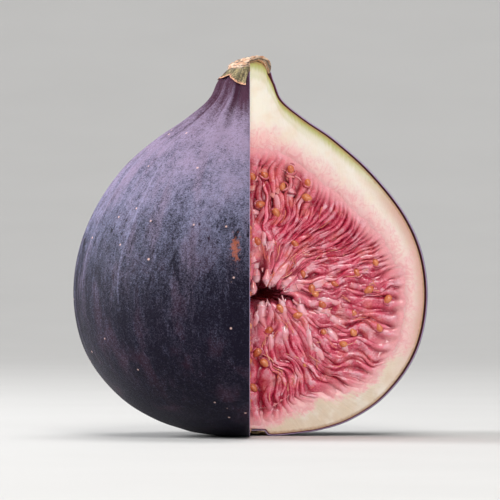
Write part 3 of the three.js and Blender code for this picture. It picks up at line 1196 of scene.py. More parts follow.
@dataclass
class PulpBed:
    """The pulp's body: the florets ridge its two cut faces, and the small hollow is in the middle."""

    florets: dict[Face, "Florets"]
    finish: PulpFinish = PulpFinish()
    rows: int = 380
    columns: int = 14
    steps: int = 80
    hollow_steps: int = 8
    depth: float = 1.05
    relief: float = 0.8
    dents: tuple[tuple[float, float, float], ...] = (
        (2.5, 40.1, 1.7), (6.3, 39.8, 1.5), (6.6, 37.4, 1.9), (1.2, 37.4, 1.8), (4.1, 37.2, 1.8),
        (1.8, 34.4, 1.9), (4.0, 34.6, 1.5), (1.2, 13.4, 1.3), (2.6, 11.4, 1.4), (0.8, 7.8, 1.2),
    )
    strands: tuple[tuple[float, float, float], ...] = (
        (50.0, -1.0, -0.9), (25.0, 0.4, 0.66), (12.5, 0.74, 0.92),
    )

    def build(self) -> bpy.types.Object:
        """Builds the body.

        Returns:
            The piece.
        """
        share = np.linspace(0.0, 1.0, self.rows)
        front, side = self._fan(Face.FRONT, share), self._fan(Face.SIDE, share)
        back = self._back(share)
        rings = np.concatenate([back, side[0], front[0][:, ::-1]], axis=1)
        piece = new_piece("pulp_bed", rings.reshape(-1, 3), ring_faces(self.rows, rings.shape[1]))
        blank = np.full(back.shape[:2], 0.5)
        values = {name: [blank, side[1][name], front[1][name][:, ::-1]] for name in front[1]}
        give_values(piece, **{name: np.concatenate(parts, axis=1) for name, parts in values.items()})
        seal(piece, 80.0)
        dress(piece, "pulp", self.finish.floret())
        return piece

    def _fan(self, face: Face, share: np.ndarray) -> tuple[np.ndarray, dict[str, np.ndarray]]:
        """The body's cut face, from the pulp's edge to the middle of the hollow.

        Args:
            face: the cut face.
            share: where each row is along the pulp's edge.

        Returns:
            (rows, steps, 3) points and their values.
        """
        florets = self.florets[face]
        inward = np.linspace(0.0, 1.0, self.steps)
        lines = np.stack([florets.path(value, inward, 0.4) for value in share])
        rim, middle = lines[:, -1:], np.array([0.0, florets.hollow[1]])
        last = np.linspace(0.0, 1.0, self.hollow_steps + 1)[1:]
        lines = np.concatenate([lines, rim + (middle - rim) * last[None, :, None]], axis=1)
        inward = np.concatenate([inward, np.ones(self.hollow_steps)])
        ridge = self._ridges(florets.seed, share, inward)
        spots = np.stack([lines[..., 0] * face.value, lines[..., 1], np.zeros(ridge.shape)], axis=-1)
        spots = spots.reshape(-1, 3)
        lumps = (grain(spots, 1.7, 3.0) + 0.5 * grain(spots, 0.6, 5.0)).reshape(ridge.shape)
        held = np.clip(np.minimum(share, 1.0 - share) * 40.0, 0.0, 1.0)[:, None]
        fade = 0.1 + 0.2 * smooth(0.55, 0.85, share)[:, None] + 0.05 * lumps
        free = smooth(0.0, 1.0, inward[None, :] / fade) * held
        depth = 0.2 - 0.1 * smooth(0.0, 0.1, inward) + 0.12 * lumps * (1.0 - smooth(0.05, 0.2, inward)) * held
        deep = self.relief * (0.1 + 0.9 * smooth(0.1, 1.8, lines[..., 0]))
        deep = deep * (1.0 + 0.4 * smooth(0.4, 1.0, inward))
        depth = depth + free * (deep * (1.0 - ridge) + 0.15 * lumps)
        hollow = self._hollow(lines.reshape(-1, 2)).reshape(depth.shape)
        depth = np.maximum(depth, 0.02) + 0.6 * smooth(0.92, 1.0, inward) + hollow
        points = under_face(face, lines[..., 0], lines[..., 1], depth)
        # crest carries the ridge heights to the florets' material, which paints highlight on the ridges and
        # shade in the valleys
        crest = 0.9 + (0.1 + ridge - 0.9) * smooth(0.0, 1.0, inward[None, :] / (0.8 * fade))
        tone = np.clip(0.5 + 0.8 * lumps, 0.0, 1.0)
        return points, {"crest": crest, "tone": tone, "along": np.broadcast_to(inward, ridge.shape)}

    def _ridges(self, seed: float, share: np.ndarray, inward: np.ndarray) -> np.ndarray:
        """Rounded ridges that follow the florets and join in pairs towards the hollow.

        Args:
            seed: picks the pattern.
            share: where each row is along the pulp's edge.
            inward: how far each column is towards the hollow.

        Returns:
            (rows, columns) heights, from 0 in the valleys to 1 on the crests.
        """
        rows, steps = (values.ravel() for values in np.meshgrid(share, inward, indexing="ij"))
        rows = rows + 0.012 * grain(np.stack([rows * 11.0, steps * 4.0, rows * 0.0], axis=-1), 1.0, seed)
        rows = np.interp(rows, (0.0, 0.5, 0.58, 0.86, 1.0), (0.0, 0.37, 0.45, 0.86, 1.0))
        total = np.zeros_like(rows)
        for strands, low, high in self.strands:
            across = rows * strands
            flow = np.stack([across * 0.6, steps * 3.5, rows * 0.0], axis=-1)
            wave = np.abs(np.sin(math.pi * (across + 0.55 * grain(flow, 1.0, seed + strands)))) ** 0.75
            flow = np.stack([across * 1.3, steps * 5.0, rows * 0.0], axis=-1)
            rough = np.clip(np.abs(grain(flow, 1.0, seed + strands + 3.0)) * 2.6, 0.0, 1.0) ** 0.7
            layer, blend = 0.7 * wave + 0.3 * rough, smooth(low, high, steps)
            total = total * (1.0 - blend) + layer * blend
        return total.reshape(len(share), len(inward))

    def _hollow(self, spot: np.ndarray) -> np.ndarray:
        """How much deeper the bed is in the hollow and in the cracks that run from it."""
        hollow = self.florets[Face.FRONT].hollow
        out, height = spot[:, 0] - hollow[0], spot[:, 1] - hollow[1]
        hole = 2.6 * np.exp(-((out / 1.5) ** 2) - ((height / 0.85) ** 2))
        hole = hole + 0.5 * np.exp(-((out / 4.5) ** 2) - ((height / 3.6) ** 2))
        up = 1.2 * np.exp(-(((out + 0.9) / 0.6) ** 2) - (((height - 2.0) / 2.2) ** 2))
        right = 1.1 * np.exp(-(((out - 3.0) / 2.2) ** 2) - (((height + 0.5 + 0.16 * out) / 0.42) ** 2))
        dents = sum(np.exp(-((spot[:, 0] - x) ** 2 + (spot[:, 1] - z) ** 2) / wide**2)
                    for x, z, wide in self.dents)
        return hole + up + right + 0.55 * dents

    def _back(self, share: np.ndarray) -> np.ndarray:
        """The body's back, turned about a line behind the corner of the cut faces."""
        edge, outward, _ = self.florets[Face.FRONT].faces.edge(Face.FRONT, share)
        start = edge - outward * 2.35
        radius = np.maximum(start[:, :1], 0.0)
        radius[[0, -1]] = 0.0
        reach = radius + self.depth * (1.0 - np.maximum(0.0, 1.0 - radius / 6.0))
        angle = np.linspace(0.0, KEPT_TURN, self.columns + 2)[1:-1]
        reach = reach * (1.0 - 0.12 * np.sin(angle / 1.5) ** 2)
        height = np.broadcast_to(start[:, 1:], reach.shape)
        across, behind = reach * np.cos(angle) - self.depth, reach * np.sin(angle) + self.depth
        return np.stack([across, behind, height], axis=-1)


def new_tree(name: str, inputs: dict[str, str]) -> tuple[Board, dict[str, Wire]]:
    """Starts geometry nodes that take a geometry and give one.

    Args:
        name: the tree's name.
        inputs: the type of each input besides the geometry, by its name.

    Returns:
        The board, and a wire for each input.
    """
    tree = bpy.data.node_groups.new(name, "GeometryNodeTree")
    kinds = {"Geometry": "Geometry", **inputs}
    for key, kind in kinds.items():
        tree.interface.new_socket(key, in_out="INPUT", socket_type="NodeSocket" + kind)
    tree.interface.new_socket("Geometry", in_out="OUTPUT", socket_type="NodeSocketGeometry")
    board = Board(tree)
    group = board.node("NodeGroupInput")
    return board, {key: Wire(board, group.outputs[key]) for key in kinds}


def run_tree(start: bpy.types.Object, tree: bpy.types.NodeTree, name: str,
             **values: object) -> bpy.types.Object:
    """Runs geometry nodes on an object, which is removed.

    Args:
        start: the object.
        tree: the nodes.
        name: the name of the piece that they make.
        values: a value for each input, by its name.

    Returns:
        The piece, as a plain mesh.
    """
    modifier = start.modifiers.new("nodes", "NODES")
    modifier.node_group = tree
    for item in tree.interface.items_tree:
        if item.item_type == "SOCKET" and item.in_out == "INPUT" and item.name in values:
            modifier[item.identifier] = values[item.name]
    return plain_copy(start, name)


def tube_line(face: Face, out: np.ndarray, height: np.ndarray, depth: np.ndarray, radius: np.ndarray,
              along: np.ndarray, tone: float) -> dict[str, np.ndarray]:
    """One line for TubeTree: its points at a depth under a cut face, and their values."""
    return {"points": under_face(face, out, height, depth), "radius": radius, "along": along,
            "tone": np.full_like(along, tone)}


@dataclass
class TubeTree:
    """Geometry nodes that turn lines into round tubes of changing thickness."""

    name: str
    sides: int = 8
    step: float = 0.42
    rough: float = 0.06

    def apply(self, name: str, lines: Sequence[dict[str, np.ndarray]], face: Face,
              material: bpy.types.Material) -> bpy.types.Object:
        """Makes one piece of tubes.

        Args:
            name: the piece's name.
            lines: the lines, each with its points, radius, along and tone.
            face: the cut face that the tubes lie in.
            material: their material.

        Returns:
            The piece, as a plain mesh.
        """
        start = self._line_piece(name + "_lines", lines)
        return run_tree(start, self._tree(), name, Sides=self.sides, Step=self.step * MM,
                        Rough=self.rough * MM, Outward=face.outward, Material=material)

    def _line_piece(self, name: str, lines: Sequence[dict[str, np.ndarray]]) -> bpy.types.Object:
        """A mesh of loose lines with their values."""
        counts = [len(line["points"]) for line in lines]
        starts = np.cumsum([0, *counts[:-1]])
        edges = [(first + i, first + i + 1) for first, count in zip(starts, counts) for i in range(count - 1)]
        mesh = bpy.data.meshes.new(name)
        values = {key: np.concatenate([line[key] for line in lines]) for key in lines[0]}
        mesh.from_pydata((values.pop("points") * MM).tolist(), edges, [])
        values["radius"] = values["radius"] * MM
        piece = new_object(name, mesh)
        give_values(piece, **values)
        return piece

    def _tree(self) -> bpy.types.NodeTree:
        """Builds the nodes."""
        board, given = new_tree(self.name, {
            "Sides": "Int", "Step": "Float", "Rough": "Float", "Outward": "Vector", "Material": "Material"})
        curve = board.add("GeometryNodeMeshToCurve", None, {"Mesh": given["Geometry"]})
        curve = board.add("GeometryNodeResampleCurve", {"mode": "LENGTH"}, {
            "Curve": curve, "Length": given["Step"]})
        ring = board.add("GeometryNodeCurvePrimitiveCircle", None, {
            "Resolution": given["Sides"], "Radius": 1.0})
        radius = board.add("GeometryNodeInputNamedAttribute", {"data_type": "FLOAT"}, {"Name": "radius"})
        tube = board.add("GeometryNodeCurveToMesh", None, {
            "Curve": curve, "Profile Curve": ring, "Scale": radius, "Fill Caps": True})
        normal = board.add("GeometryNodeInputNormal")
        lumps = board.add("ShaderNodeTexNoise", None, {"Scale": 0.9 / MM, "Detail": 2.0})
        push = board.add("ShaderNodeVectorMath", {"operation": "SCALE"}, {
            0: normal, "Scale": (lumps - 0.5) * 2.0 * given["Rough"]})
        tube = board.add("GeometryNodeSetPosition", None, {"Geometry": tube, "Offset": push})
        # crest: how far each point faces out of the cut face; the materials paint highlight where it is high
        # and shade where it is low
        crest = board.add("ShaderNodeVectorMath", {"operation": "DOT_PRODUCT"}, {
            0: normal, 1: given["Outward"]}, "Value")
        tube = board.add("GeometryNodeStoreNamedAttribute", {"data_type": "FLOAT", "domain": "POINT"}, {
            "Geometry": tube, "Name": "crest", "Value": crest})
        tube = board.add("GeometryNodeSetShadeSmooth", None, {"Geometry": tube})
        tube = board.add("GeometryNodeRealizeInstances", None, {"Geometry": tube})
        tube = board.add("GeometryNodeSetMaterial", None, {"Geometry": tube, "Material": given["Material"]})
        board.node("NodeGroupOutput", None, {"Geometry": tube})
        return board.tree


def plain_copy(start: bpy.types.Object, name: str) -> bpy.types.Object:
    """Turns what an object's modifiers give into a plain mesh and removes the object.

    Args:
        start: the object with its modifiers.
        name: the name of the plain piece.

    Returns:
        The plain piece.
    """
    graph = bpy.context.evaluated_depsgraph_get()
    graph.update()
    solved = start.evaluated_get(graph)
    mesh = bpy.data.meshes.new_from_object(solved, preserve_all_data_layers=True, depsgraph=graph)
    mesh.name = name
    start.modifiers.clear()
    bpy.data.objects.remove(start)
    return new_object(name, mesh)


@dataclass
class Florets:
    """The florets that lie in one cut face, from their roots in the flesh to the hollow."""

    faces: CutFaces
    face: Face
    seed: int
    count: int = 76
    finish: PulpFinish = PulpFinish()

    def __post_init__(self) -> None:
        """Starts the random numbers and finds the hollow."""
        self.draws = Draws(self.seed)
        self.hollow = np.array(self.faces.form.hollow)

    def path(self, share: float, inward: np.ndarray, rooted: float = 0.3) -> np.ndarray:
        """The middle line of a floret.

        Args:
            share: where it roots, from 0 at the bottom of the pulp to 1 at its top.
            inward: how far along it, from 0 at the root to 1 at the hollow.
            rooted: how far inside the flesh it roots.

        Returns:
            (n, 2) distances from the axis and heights.
        """
        edge, outward, _ = self.faces.edge(self.face, np.array([share]))
        root = edge[0] + outward[0] * rooted
        away = root - self.hollow
        far = np.hypot(*away)
        held = min(1.0, 30.0 * min(share, 1.0 - share))
        end = self.hollow + away / far * np.array([1.8, 1.05])
        end[0] = max(0.0, end[0] * held)
        around = np.array([-away[1], away[0]])
        swirl = -0.5 * band(0.03, 0.14, 0.34, 0.52, share)
        bend = root + 0.42 * (swirl * around - away)
        bend[0] *= held
        t = inward[:, None]
        line = (1 - t) ** 2 * root + 2 * t * (1 - t) * bend + t**2 * end
        calm = 1.0 - 0.55 * band(0.52, 0.62, 0.82, 0.92, share)
        free = held * calm * smooth(0.0, 0.22, inward) * (1.0 - 0.55 * smooth(0.75, 1.0, inward))
        curl = -1.3 * held * band(0.56, 0.64, 0.8, 0.9, share) * np.sin(2.0 * math.pi * inward)
        line = line + curl[:, None] * around / far
        line = line + drift(line, 4.6, self.seed + 0.2) * (1.7 * free)[:, None]
        line = line + drift(line, 2.2, self.seed + 0.7) * (0.5 * free)[:, None]
        line[:, 0] = np.maximum(line[:, 0], 0.3 * held)
        return line

    def build(self, cups: Sequence[tuple[float, float]]) -> list[bpy.types.Object]:
        """Builds the florets of the face.

        Args:
            cups: the places of the seeds, each of which sits in a cup.

        Returns:
            The upper and the lower layer.
        """
        lines = [self._line(i) for i in range(self.count)]
        layers = {"upper": lines[::2] + [self._cup(*spot) for spot in cups], "lower": lines[1::2]}
        tree, material, pieces = TubeTree("floret_tubes", 12, 0.3, 0.13), self.finish.floret(), []
        for word, layer in layers.items():
            pieces.append(tree.apply(f"florets_{word}_{self.face.word}", layer, self.face, material))
            dress(pieces[-1], "pulp")
        return pieces

    def _line(self, number: int) -> dict[str, np.ndarray]:
        """One floret's line.

        Args:
            number: which floret it is; even ones lie on top.

        Returns:
            Its points and values.
        """
        draws = self.draws
        share = (number + draws.between(0.0, 1.0)) / self.count
        reach = draws.between(0.35, 1.0) if number % 2 == 0 else draws.between(0.6, 1.0)
        start = draws.between(0.03, 0.12) if draws.draw() < 0.5 else draws.between(0.15, 0.45) * reach
        steps = np.linspace(start, reach, 34)
        flat = self.path(share, steps, draws.between(-0.1, 0.9))
        sunk = draws.between(0.0, 0.16) if number % 2 == 0 else draws.between(0.26, 0.5)
        phase = draws.between(0.0, ANY_TURN)
        travelled = np.concatenate([[0.0], np.cumsum(np.hypot(*np.diff(flat, axis=0).T))])
        sway = draws.between(0.1, 0.34) * np.sin(travelled * draws.between(1.1, 1.7) + phase)
        flat = flat + sideways(flat) * (sway * smooth(0.03, 0.25, steps))[:, None]
        ripple = 0.09 * (1.0 + np.sin(travelled * 0.9 + phase)) * smooth(0.0, 0.2, steps)
        sunk = sunk * smooth(0.04, 0.2, steps) + ripple + 0.25 * (1.0 - smooth(0.0, 2.5, travelled))
        thick = draws.between(0.38, 0.66) * (1.0 + 0.4 * smooth(0.5, 1.0, steps))
        thick = thick * (1.0 - 0.22 * band(0.52, 0.62, 0.82, 0.92, share))
        thick = thick * (1.0 + 0.16 * np.sin(travelled * 1.5 + phase * 2.0))
        thick = thick * (0.6 + 0.4 * smooth(0.0, 0.2, steps))
        depth = sunk + thick + 0.02
        thick = thick * rounded(travelled, 3.0, 0.02) * rounded(travelled[-1] - travelled, 1.0, 0.02)
        return tube_line(self.face, flat[:, 0], flat[:, 1], depth, thick, steps, draws.draw())

    def _cup(self, out: float, height: float) -> dict[str, np.ndarray]:
        """The fleshy rim of the floret that a seed sits in, most of a ring round it; partly the pouch, partly
        painted shade, as its tone of 1 makes it crimson.
        """
        draws = self.draws
        steps = np.linspace(0.0, 1.0, 16)
        angle = draws.between(0.0, ANY_TURN) + steps * draws.between(3.0, 5.0)
        wide = draws.between(0.58, 0.74) * (1.0 + 0.5 * steps**2)
        across, up = out + wide * np.cos(angle), height + draws.between(0.7, 1.0) * wide * np.sin(angle)
        thick = 0.27 * np.sqrt(np.sin(np.clip(steps, 0.02, 0.98) * math.pi))
        depth, along = 0.5 + 0.2 * np.sin(angle + wide * 9.0), np.full_like(steps, 0.5)
        # tone 1.0 paints the cup crimson: painted shade round the seed
        return tube_line(self.face, np.maximum(across, 0.2), up, depth, thick, along, 1.0)


@dataclass
class PaleTips:
    """The pale plump tips of the florets that crowd round the hollow."""

    faces: CutFaces
    face: Face
    seed: int
    finish: PulpFinish = PulpFinish()
    shown: tuple[tuple[float, float, float, float, float], ...] = (
        (4.1, 29.8, 3.2, 232.0, 0.8), (2.6, 31.0, 3.4, 265.0, 0.4), (5.1, 25.6, 6.4, 234.0, 0.92),
        (1.5, 27.4, 3.6, 280.0, 0.95), (1.3, 25.0, 2.6, 275.0, 0.66), (3.2, 24.6, 3.0, 262.0, 0.62),
        (7.6, 22.9, 4.2, 200.0, 0.92), (11.3, 24.0, 4.4, 208.0, 0.8), (2.8, 18.5, 4.6, 95.0, 0.75),
        (5.4, 19.1, 4.0, 100.0, 0.68), (7.9, 18.6, 4.2, 108.0, 0.68), (1.2, 17.6, 3.0, 70.0, 0.5),
        (12.8, 20.2, 5.0, 160.0, 0.58), (12.2, 18.4, 4.6, 150.0, 0.55), (6.5, 37.6, 2.1, 250.0, 0.98),
        (1.5, 34.5, 2.2, 262.0, 0.9), (9.6, 14.5, 4.6, 104.0, 0.55), (12.9, 15.0, 3.4, 124.0, 0.58),
        (14.9, 13.4, 2.4, 124.0, 0.5), (8.2, 27.6, 4.4, 226.0, 0.6), (5.6, 15.2, 3.8, 98.0, 0.6),
        (3.4, 14.2, 3.6, 92.0, 0.55), (9.9, 26.0, 3.6, 216.0, 0.55), (2.5, 40.3, 1.8, 265.0, 1.1),
        (6.2, 40.1, 1.8, 250.0, 0.85), (1.0, 37.9, 1.7, 270.0, 0.8), (4.1, 37.4, 1.8, 240.0, 0.8),
        (1.2, 30.5, 3.4, 275.0, 0.55), (10.6, 12.2, 3.6, 118.0, 0.6), (13.6, 17.2, 4.4, 140.0, 0.62),
        (6.4, 24.0, 3.6, 215.0, 0.6), (0.9, 22.9, 2.4, 265.0, 0.5),
    )
    longest_lump: float = 1.85

    def build(self) -> bpy.types.Object:
        """Builds the tips.

        Returns:
            The piece.
        """
        draws = Draws(self.seed)
        lines = []
        for tip in self.shown if self.face is Face.FRONT else self._others(draws):
            lines.append(self._line(draws, *tip))
            lines += [self._fringe(draws, *tip) for _ in range(3 if tip[2] > 2.9 else 0)]
        piece = TubeTree("tip_tubes", 14, 0.18, 0.26).apply(
            f"pale_tips_{self.face.word}", lines, self.face, self.finish.tip())
        dress(piece, "pulp")
        return piece

    def _others(self, draws: Draws) -> list[tuple[float, float, float, float, float]]:
        """Tips for the face that isn't seen, which stand round the hollow and point into it."""
        out, height = self.faces.form.hollow
        tips = []
        for i in range(30):
            angle = 2.4 * i
            far = 2.6 + 0.5 * i
            spot = (out + far * math.cos(angle), height + far * 0.8 * math.sin(angle))
            if spot[0] > 0.6 and (spot[0] / 21.0) ** 2 + ((spot[1] - 22.0) / 18.0) ** 2 < 1.0:
                turn = math.degrees(math.atan2(height - spot[1], out - spot[0])) % 360.0
                length, turn = draws.between(2.2, 3.8), turn + draws.between(-15, 15)
                tips.append((*spot, length, turn, draws.between(0.5, 0.8)))
        return tips

    def _line(self, draws: Draws, out: float, height: float, length: float, turn: float,
              radius: float) -> dict[str, np.ndarray]:
        """One tip's line.

        Args:
            draws: random numbers.
            out: its middle's distance from the axis.
            height: its middle's height.
            length: its length.
            turn: the direction it points in, in degrees from outwards.
            radius: its largest radius.

        Returns:
            Its points and values.
        """
        steps = np.linspace(0.0, 1.0, 16)
        angle = math.radians(turn)
        bow = draws.between(-0.12, 0.12) * length * np.sin(steps * math.pi)
        run = (steps - 0.5) * length
        flat_out = out + run * math.cos(angle) - bow * math.sin(angle)
        flat_up = height + run * math.sin(angle) + bow * math.cos(angle)
        radius = radius * 1.12
        thick = radius * (0.3 + 0.7 * smooth(0.0, 0.55, steps)) * (1.0 + 0.1 * np.sin(steps * 15.0 + turn))
        lump = length < self.longest_lump
        sunk = 0.0 if lump else 0.5
        depth = thick + draws.between(0.0, 0.12) + sunk * (1.0 - smooth(0.0, 0.6, steps))
        thick = thick * rounded((1.0 - steps) * length, radius * 1.3, 0.03)
        tone = 1.0 if lump else draws.between(0.0, 0.8)
        return tube_line(self.face, np.maximum(flat_out, 0.3), flat_up, depth, thick, steps, tone)

    def _fringe(self, draws: Draws, out: float, height: float, length: float, turn: float,
                radius: float) -> dict[str, np.ndarray]:
        """One of the short ragged points at the end of a tip.

        Args:
            draws: random numbers.
            out: the tip's distance from the axis.
            height: the tip's height.
            length: the tip's length.
            turn: the direction the tip points in, in degrees from outwards.
            radius: the tip's largest radius.

        Returns:
            Its points and values.
        """
        steps = np.linspace(0.0, 1.0, 8)
        side, splay = draws.between(-0.7, 0.7) * radius, draws.between(-22.0, 22.0)
        angle, bent = math.radians(turn), math.radians(turn + splay)
        run = steps * draws.between(0.5, 1.0)
        start = length * draws.between(0.3, 0.44)
        across = out + start * math.cos(angle) - side * math.sin(angle) + run * math.cos(bent)
        up = height + start * math.sin(angle) + side * math.cos(angle) + run * math.sin(bent)
        thick = draws.between(0.18, 0.3) * np.sqrt(1.0 - steps * 0.95)
        depth = thick + draws.between(0.0, 0.3) + 0.1 * steps
        out, along = np.maximum(across, 0.25), 0.6 + 0.4 * steps
        return tube_line(self.face, out, up, depth, thick, along, draws.draw())


@dataclass
class Threads:
    """Fine orange threads that curl between the florets."""

    florets: Florets
    count: int = 64
    finish: PulpFinish = PulpFinish()

    def build(self) -> bpy.types.Object:
        """Builds the threads.

        Returns:
            The piece.
        """
        draws, face, points = Draws(self.florets.seed + 100), self.florets.face, 9
        lines = []
        for _ in range(self.count):
            share, begin = draws.between(0.02, 0.98), draws.between(0.2, 0.9)
            steps = np.linspace(begin, min(1.0, begin + draws.between(0.03, 0.12)), points)
            flat = self.florets.path(share, steps)
            side = draws.between(-0.9, 0.9) * np.linspace(0.0, 1.0, points) ** 2
            flat = flat + sideways(flat) * side[:, None]
            depth = 0.12 + 0.1 * np.sin(steps * 40.0) + draws.between(-0.05, 0.15)
            lines.append(tube_line(face, np.maximum(flat[:, 0], 0.3), flat[:, 1], depth,
                                   np.linspace(0.1, 0.05, points), steps, draws.draw()))
        tree = TubeTree("thread_tubes", 5, 0.3)
        piece = tree.apply(f"threads_{face.word}", lines, face, self.finish.thread())
        dress(piece, "pulp")
        return piece


@dataclass
class Seeds:
    """The seeds that show in one cut face, each a plump oval."""

    florets: Florets
    finish: SeedFinish = SeedFinish()
    size: float = 0.76
    shown: tuple[tuple[float, float], ...] = (
        (8.8, 36.7), (8.9, 38.9), (1.9, 35.7), (4.2, 34.4), (6.9, 29.6), (16.5, 25.1), (18.3, 22.5),
        (16.0, 18.8), (11.4, 15.9), (14.3, 14.2), (15.9, 16.0), (19.9, 16.6), (3.1, 16.2), (1.5, 12.8),
        (2.5, 11.2), (8.5, 11.1), (10.0, 21.9), (11.1, 20.2), (1.4, 30.0), (4.8, 19.6), (7.4, 18.6),
        (0.9, 7.4), (9.5, 22.6), (8.2, 24.9), (2.5, 40.3), (13.1, 23.4), (0.8, 39.9), (6.3, 41.0),
        (21.2, 21.0), (19.4, 26.6), (5.1, 38.4),
    )

    def __post_init__(self) -> None:
        """Finds the seeds' places."""
        self.draws = Draws(self.florets.seed + 200)
        self.spots = self.shown if self.florets.face is Face.FRONT else self._others(self.draws)

    def build(self) -> bpy.types.Object:
        """Builds the seeds.

        Returns:
            The piece.
        """
        draws, face, spots = self.draws, self.florets.face, self.spots
        flat = np.array(spots)
        depth = np.array([draws.between(0.4, 0.56) for _ in spots])
        start = new_piece(f"seed_points_{face.word}", under_face(face, flat[:, 0], flat[:, 1], depth), [])
        give_values(start, tone=[draws.draw() for _ in spots],
                    turn=[draws.between(0.0, ANY_TURN) for _ in spots],
                    tip=[draws.between(-0.6, 0.6) for _ in spots],
                    size=[draws.between(0.85, 1.15) for _ in spots])
        piece = run_tree(start, self._tree(), f"seeds_{face.word}", Length=self.size * MM,
                         Material=self.finish.material())
        dress(piece, "pulp")
        return piece

    def _others(self, draws: Draws) -> list[tuple[float, float]]:
        """Seeds for the face that isn't seen, spread by the florets' own lines."""
        spots, count = [], len(self.shown)
        for i in range(count):
            share = (i + draws.between(0.2, 0.8)) / count
            line = self.florets.path(share, np.array([draws.between(0.12, 0.75)]))
            spots.append((float(line[0, 0]), float(line[0, 1])))
        return spots

    def _tree(self) -> bpy.types.NodeTree:
        """Builds the nodes that put a seed on each point."""
        board, given = new_tree("seed_scatter", {"Length": "Float", "Material": "Material"})
        seed = board.add("GeometryNodeMeshIcoSphere", None, {"Radius": given["Length"], "Subdivisions": 3})
        place = board.add("GeometryNodeInputPosition")
        parts = board.node("ShaderNodeSeparateXYZ", None, {0: place})
        across = Wire(board, parts.outputs["X"]) / given["Length"]
        plump = 0.8 - across * 0.16
        moved = board.add("ShaderNodeCombineXYZ", None, {
            0: Wire(board, parts.outputs["X"]), 1: Wire(board, parts.outputs["Y"]) * plump,
            2: Wire(board, parts.outputs["Z"]) * plump * 0.85})
        seed = board.add("GeometryNodeSetPosition", None, {"Geometry": seed, "Position": moved})
        named = {name: board.add("GeometryNodeInputNamedAttribute", {"data_type": "FLOAT"}, {"Name": name})
                 for name in ("turn", "tip", "size")}
        euler = board.add("ShaderNodeCombineXYZ", None, {0: named["tip"], 1: named["turn"], 2: named["tip"]})
        turned = board.add("FunctionNodeEulerToRotation", None, {"Euler": euler})
        seeds = board.add("GeometryNodeInstanceOnPoints", None, {
            "Points": given["Geometry"], "Instance": seed, "Rotation": turned, "Scale": named["size"]})
        seeds = board.add("GeometryNodeRealizeInstances", None, {"Geometry": seeds})
        seeds = board.add("GeometryNodeSetShadeSmooth", None, {"Geometry": seeds})
        seeds = board.add("GeometryNodeSetMaterial", None, {"Geometry": seeds, "Material": given["Material"]})
        board.node("NodeGroupOutput", None, {"Geometry": seeds})
        return board.tree


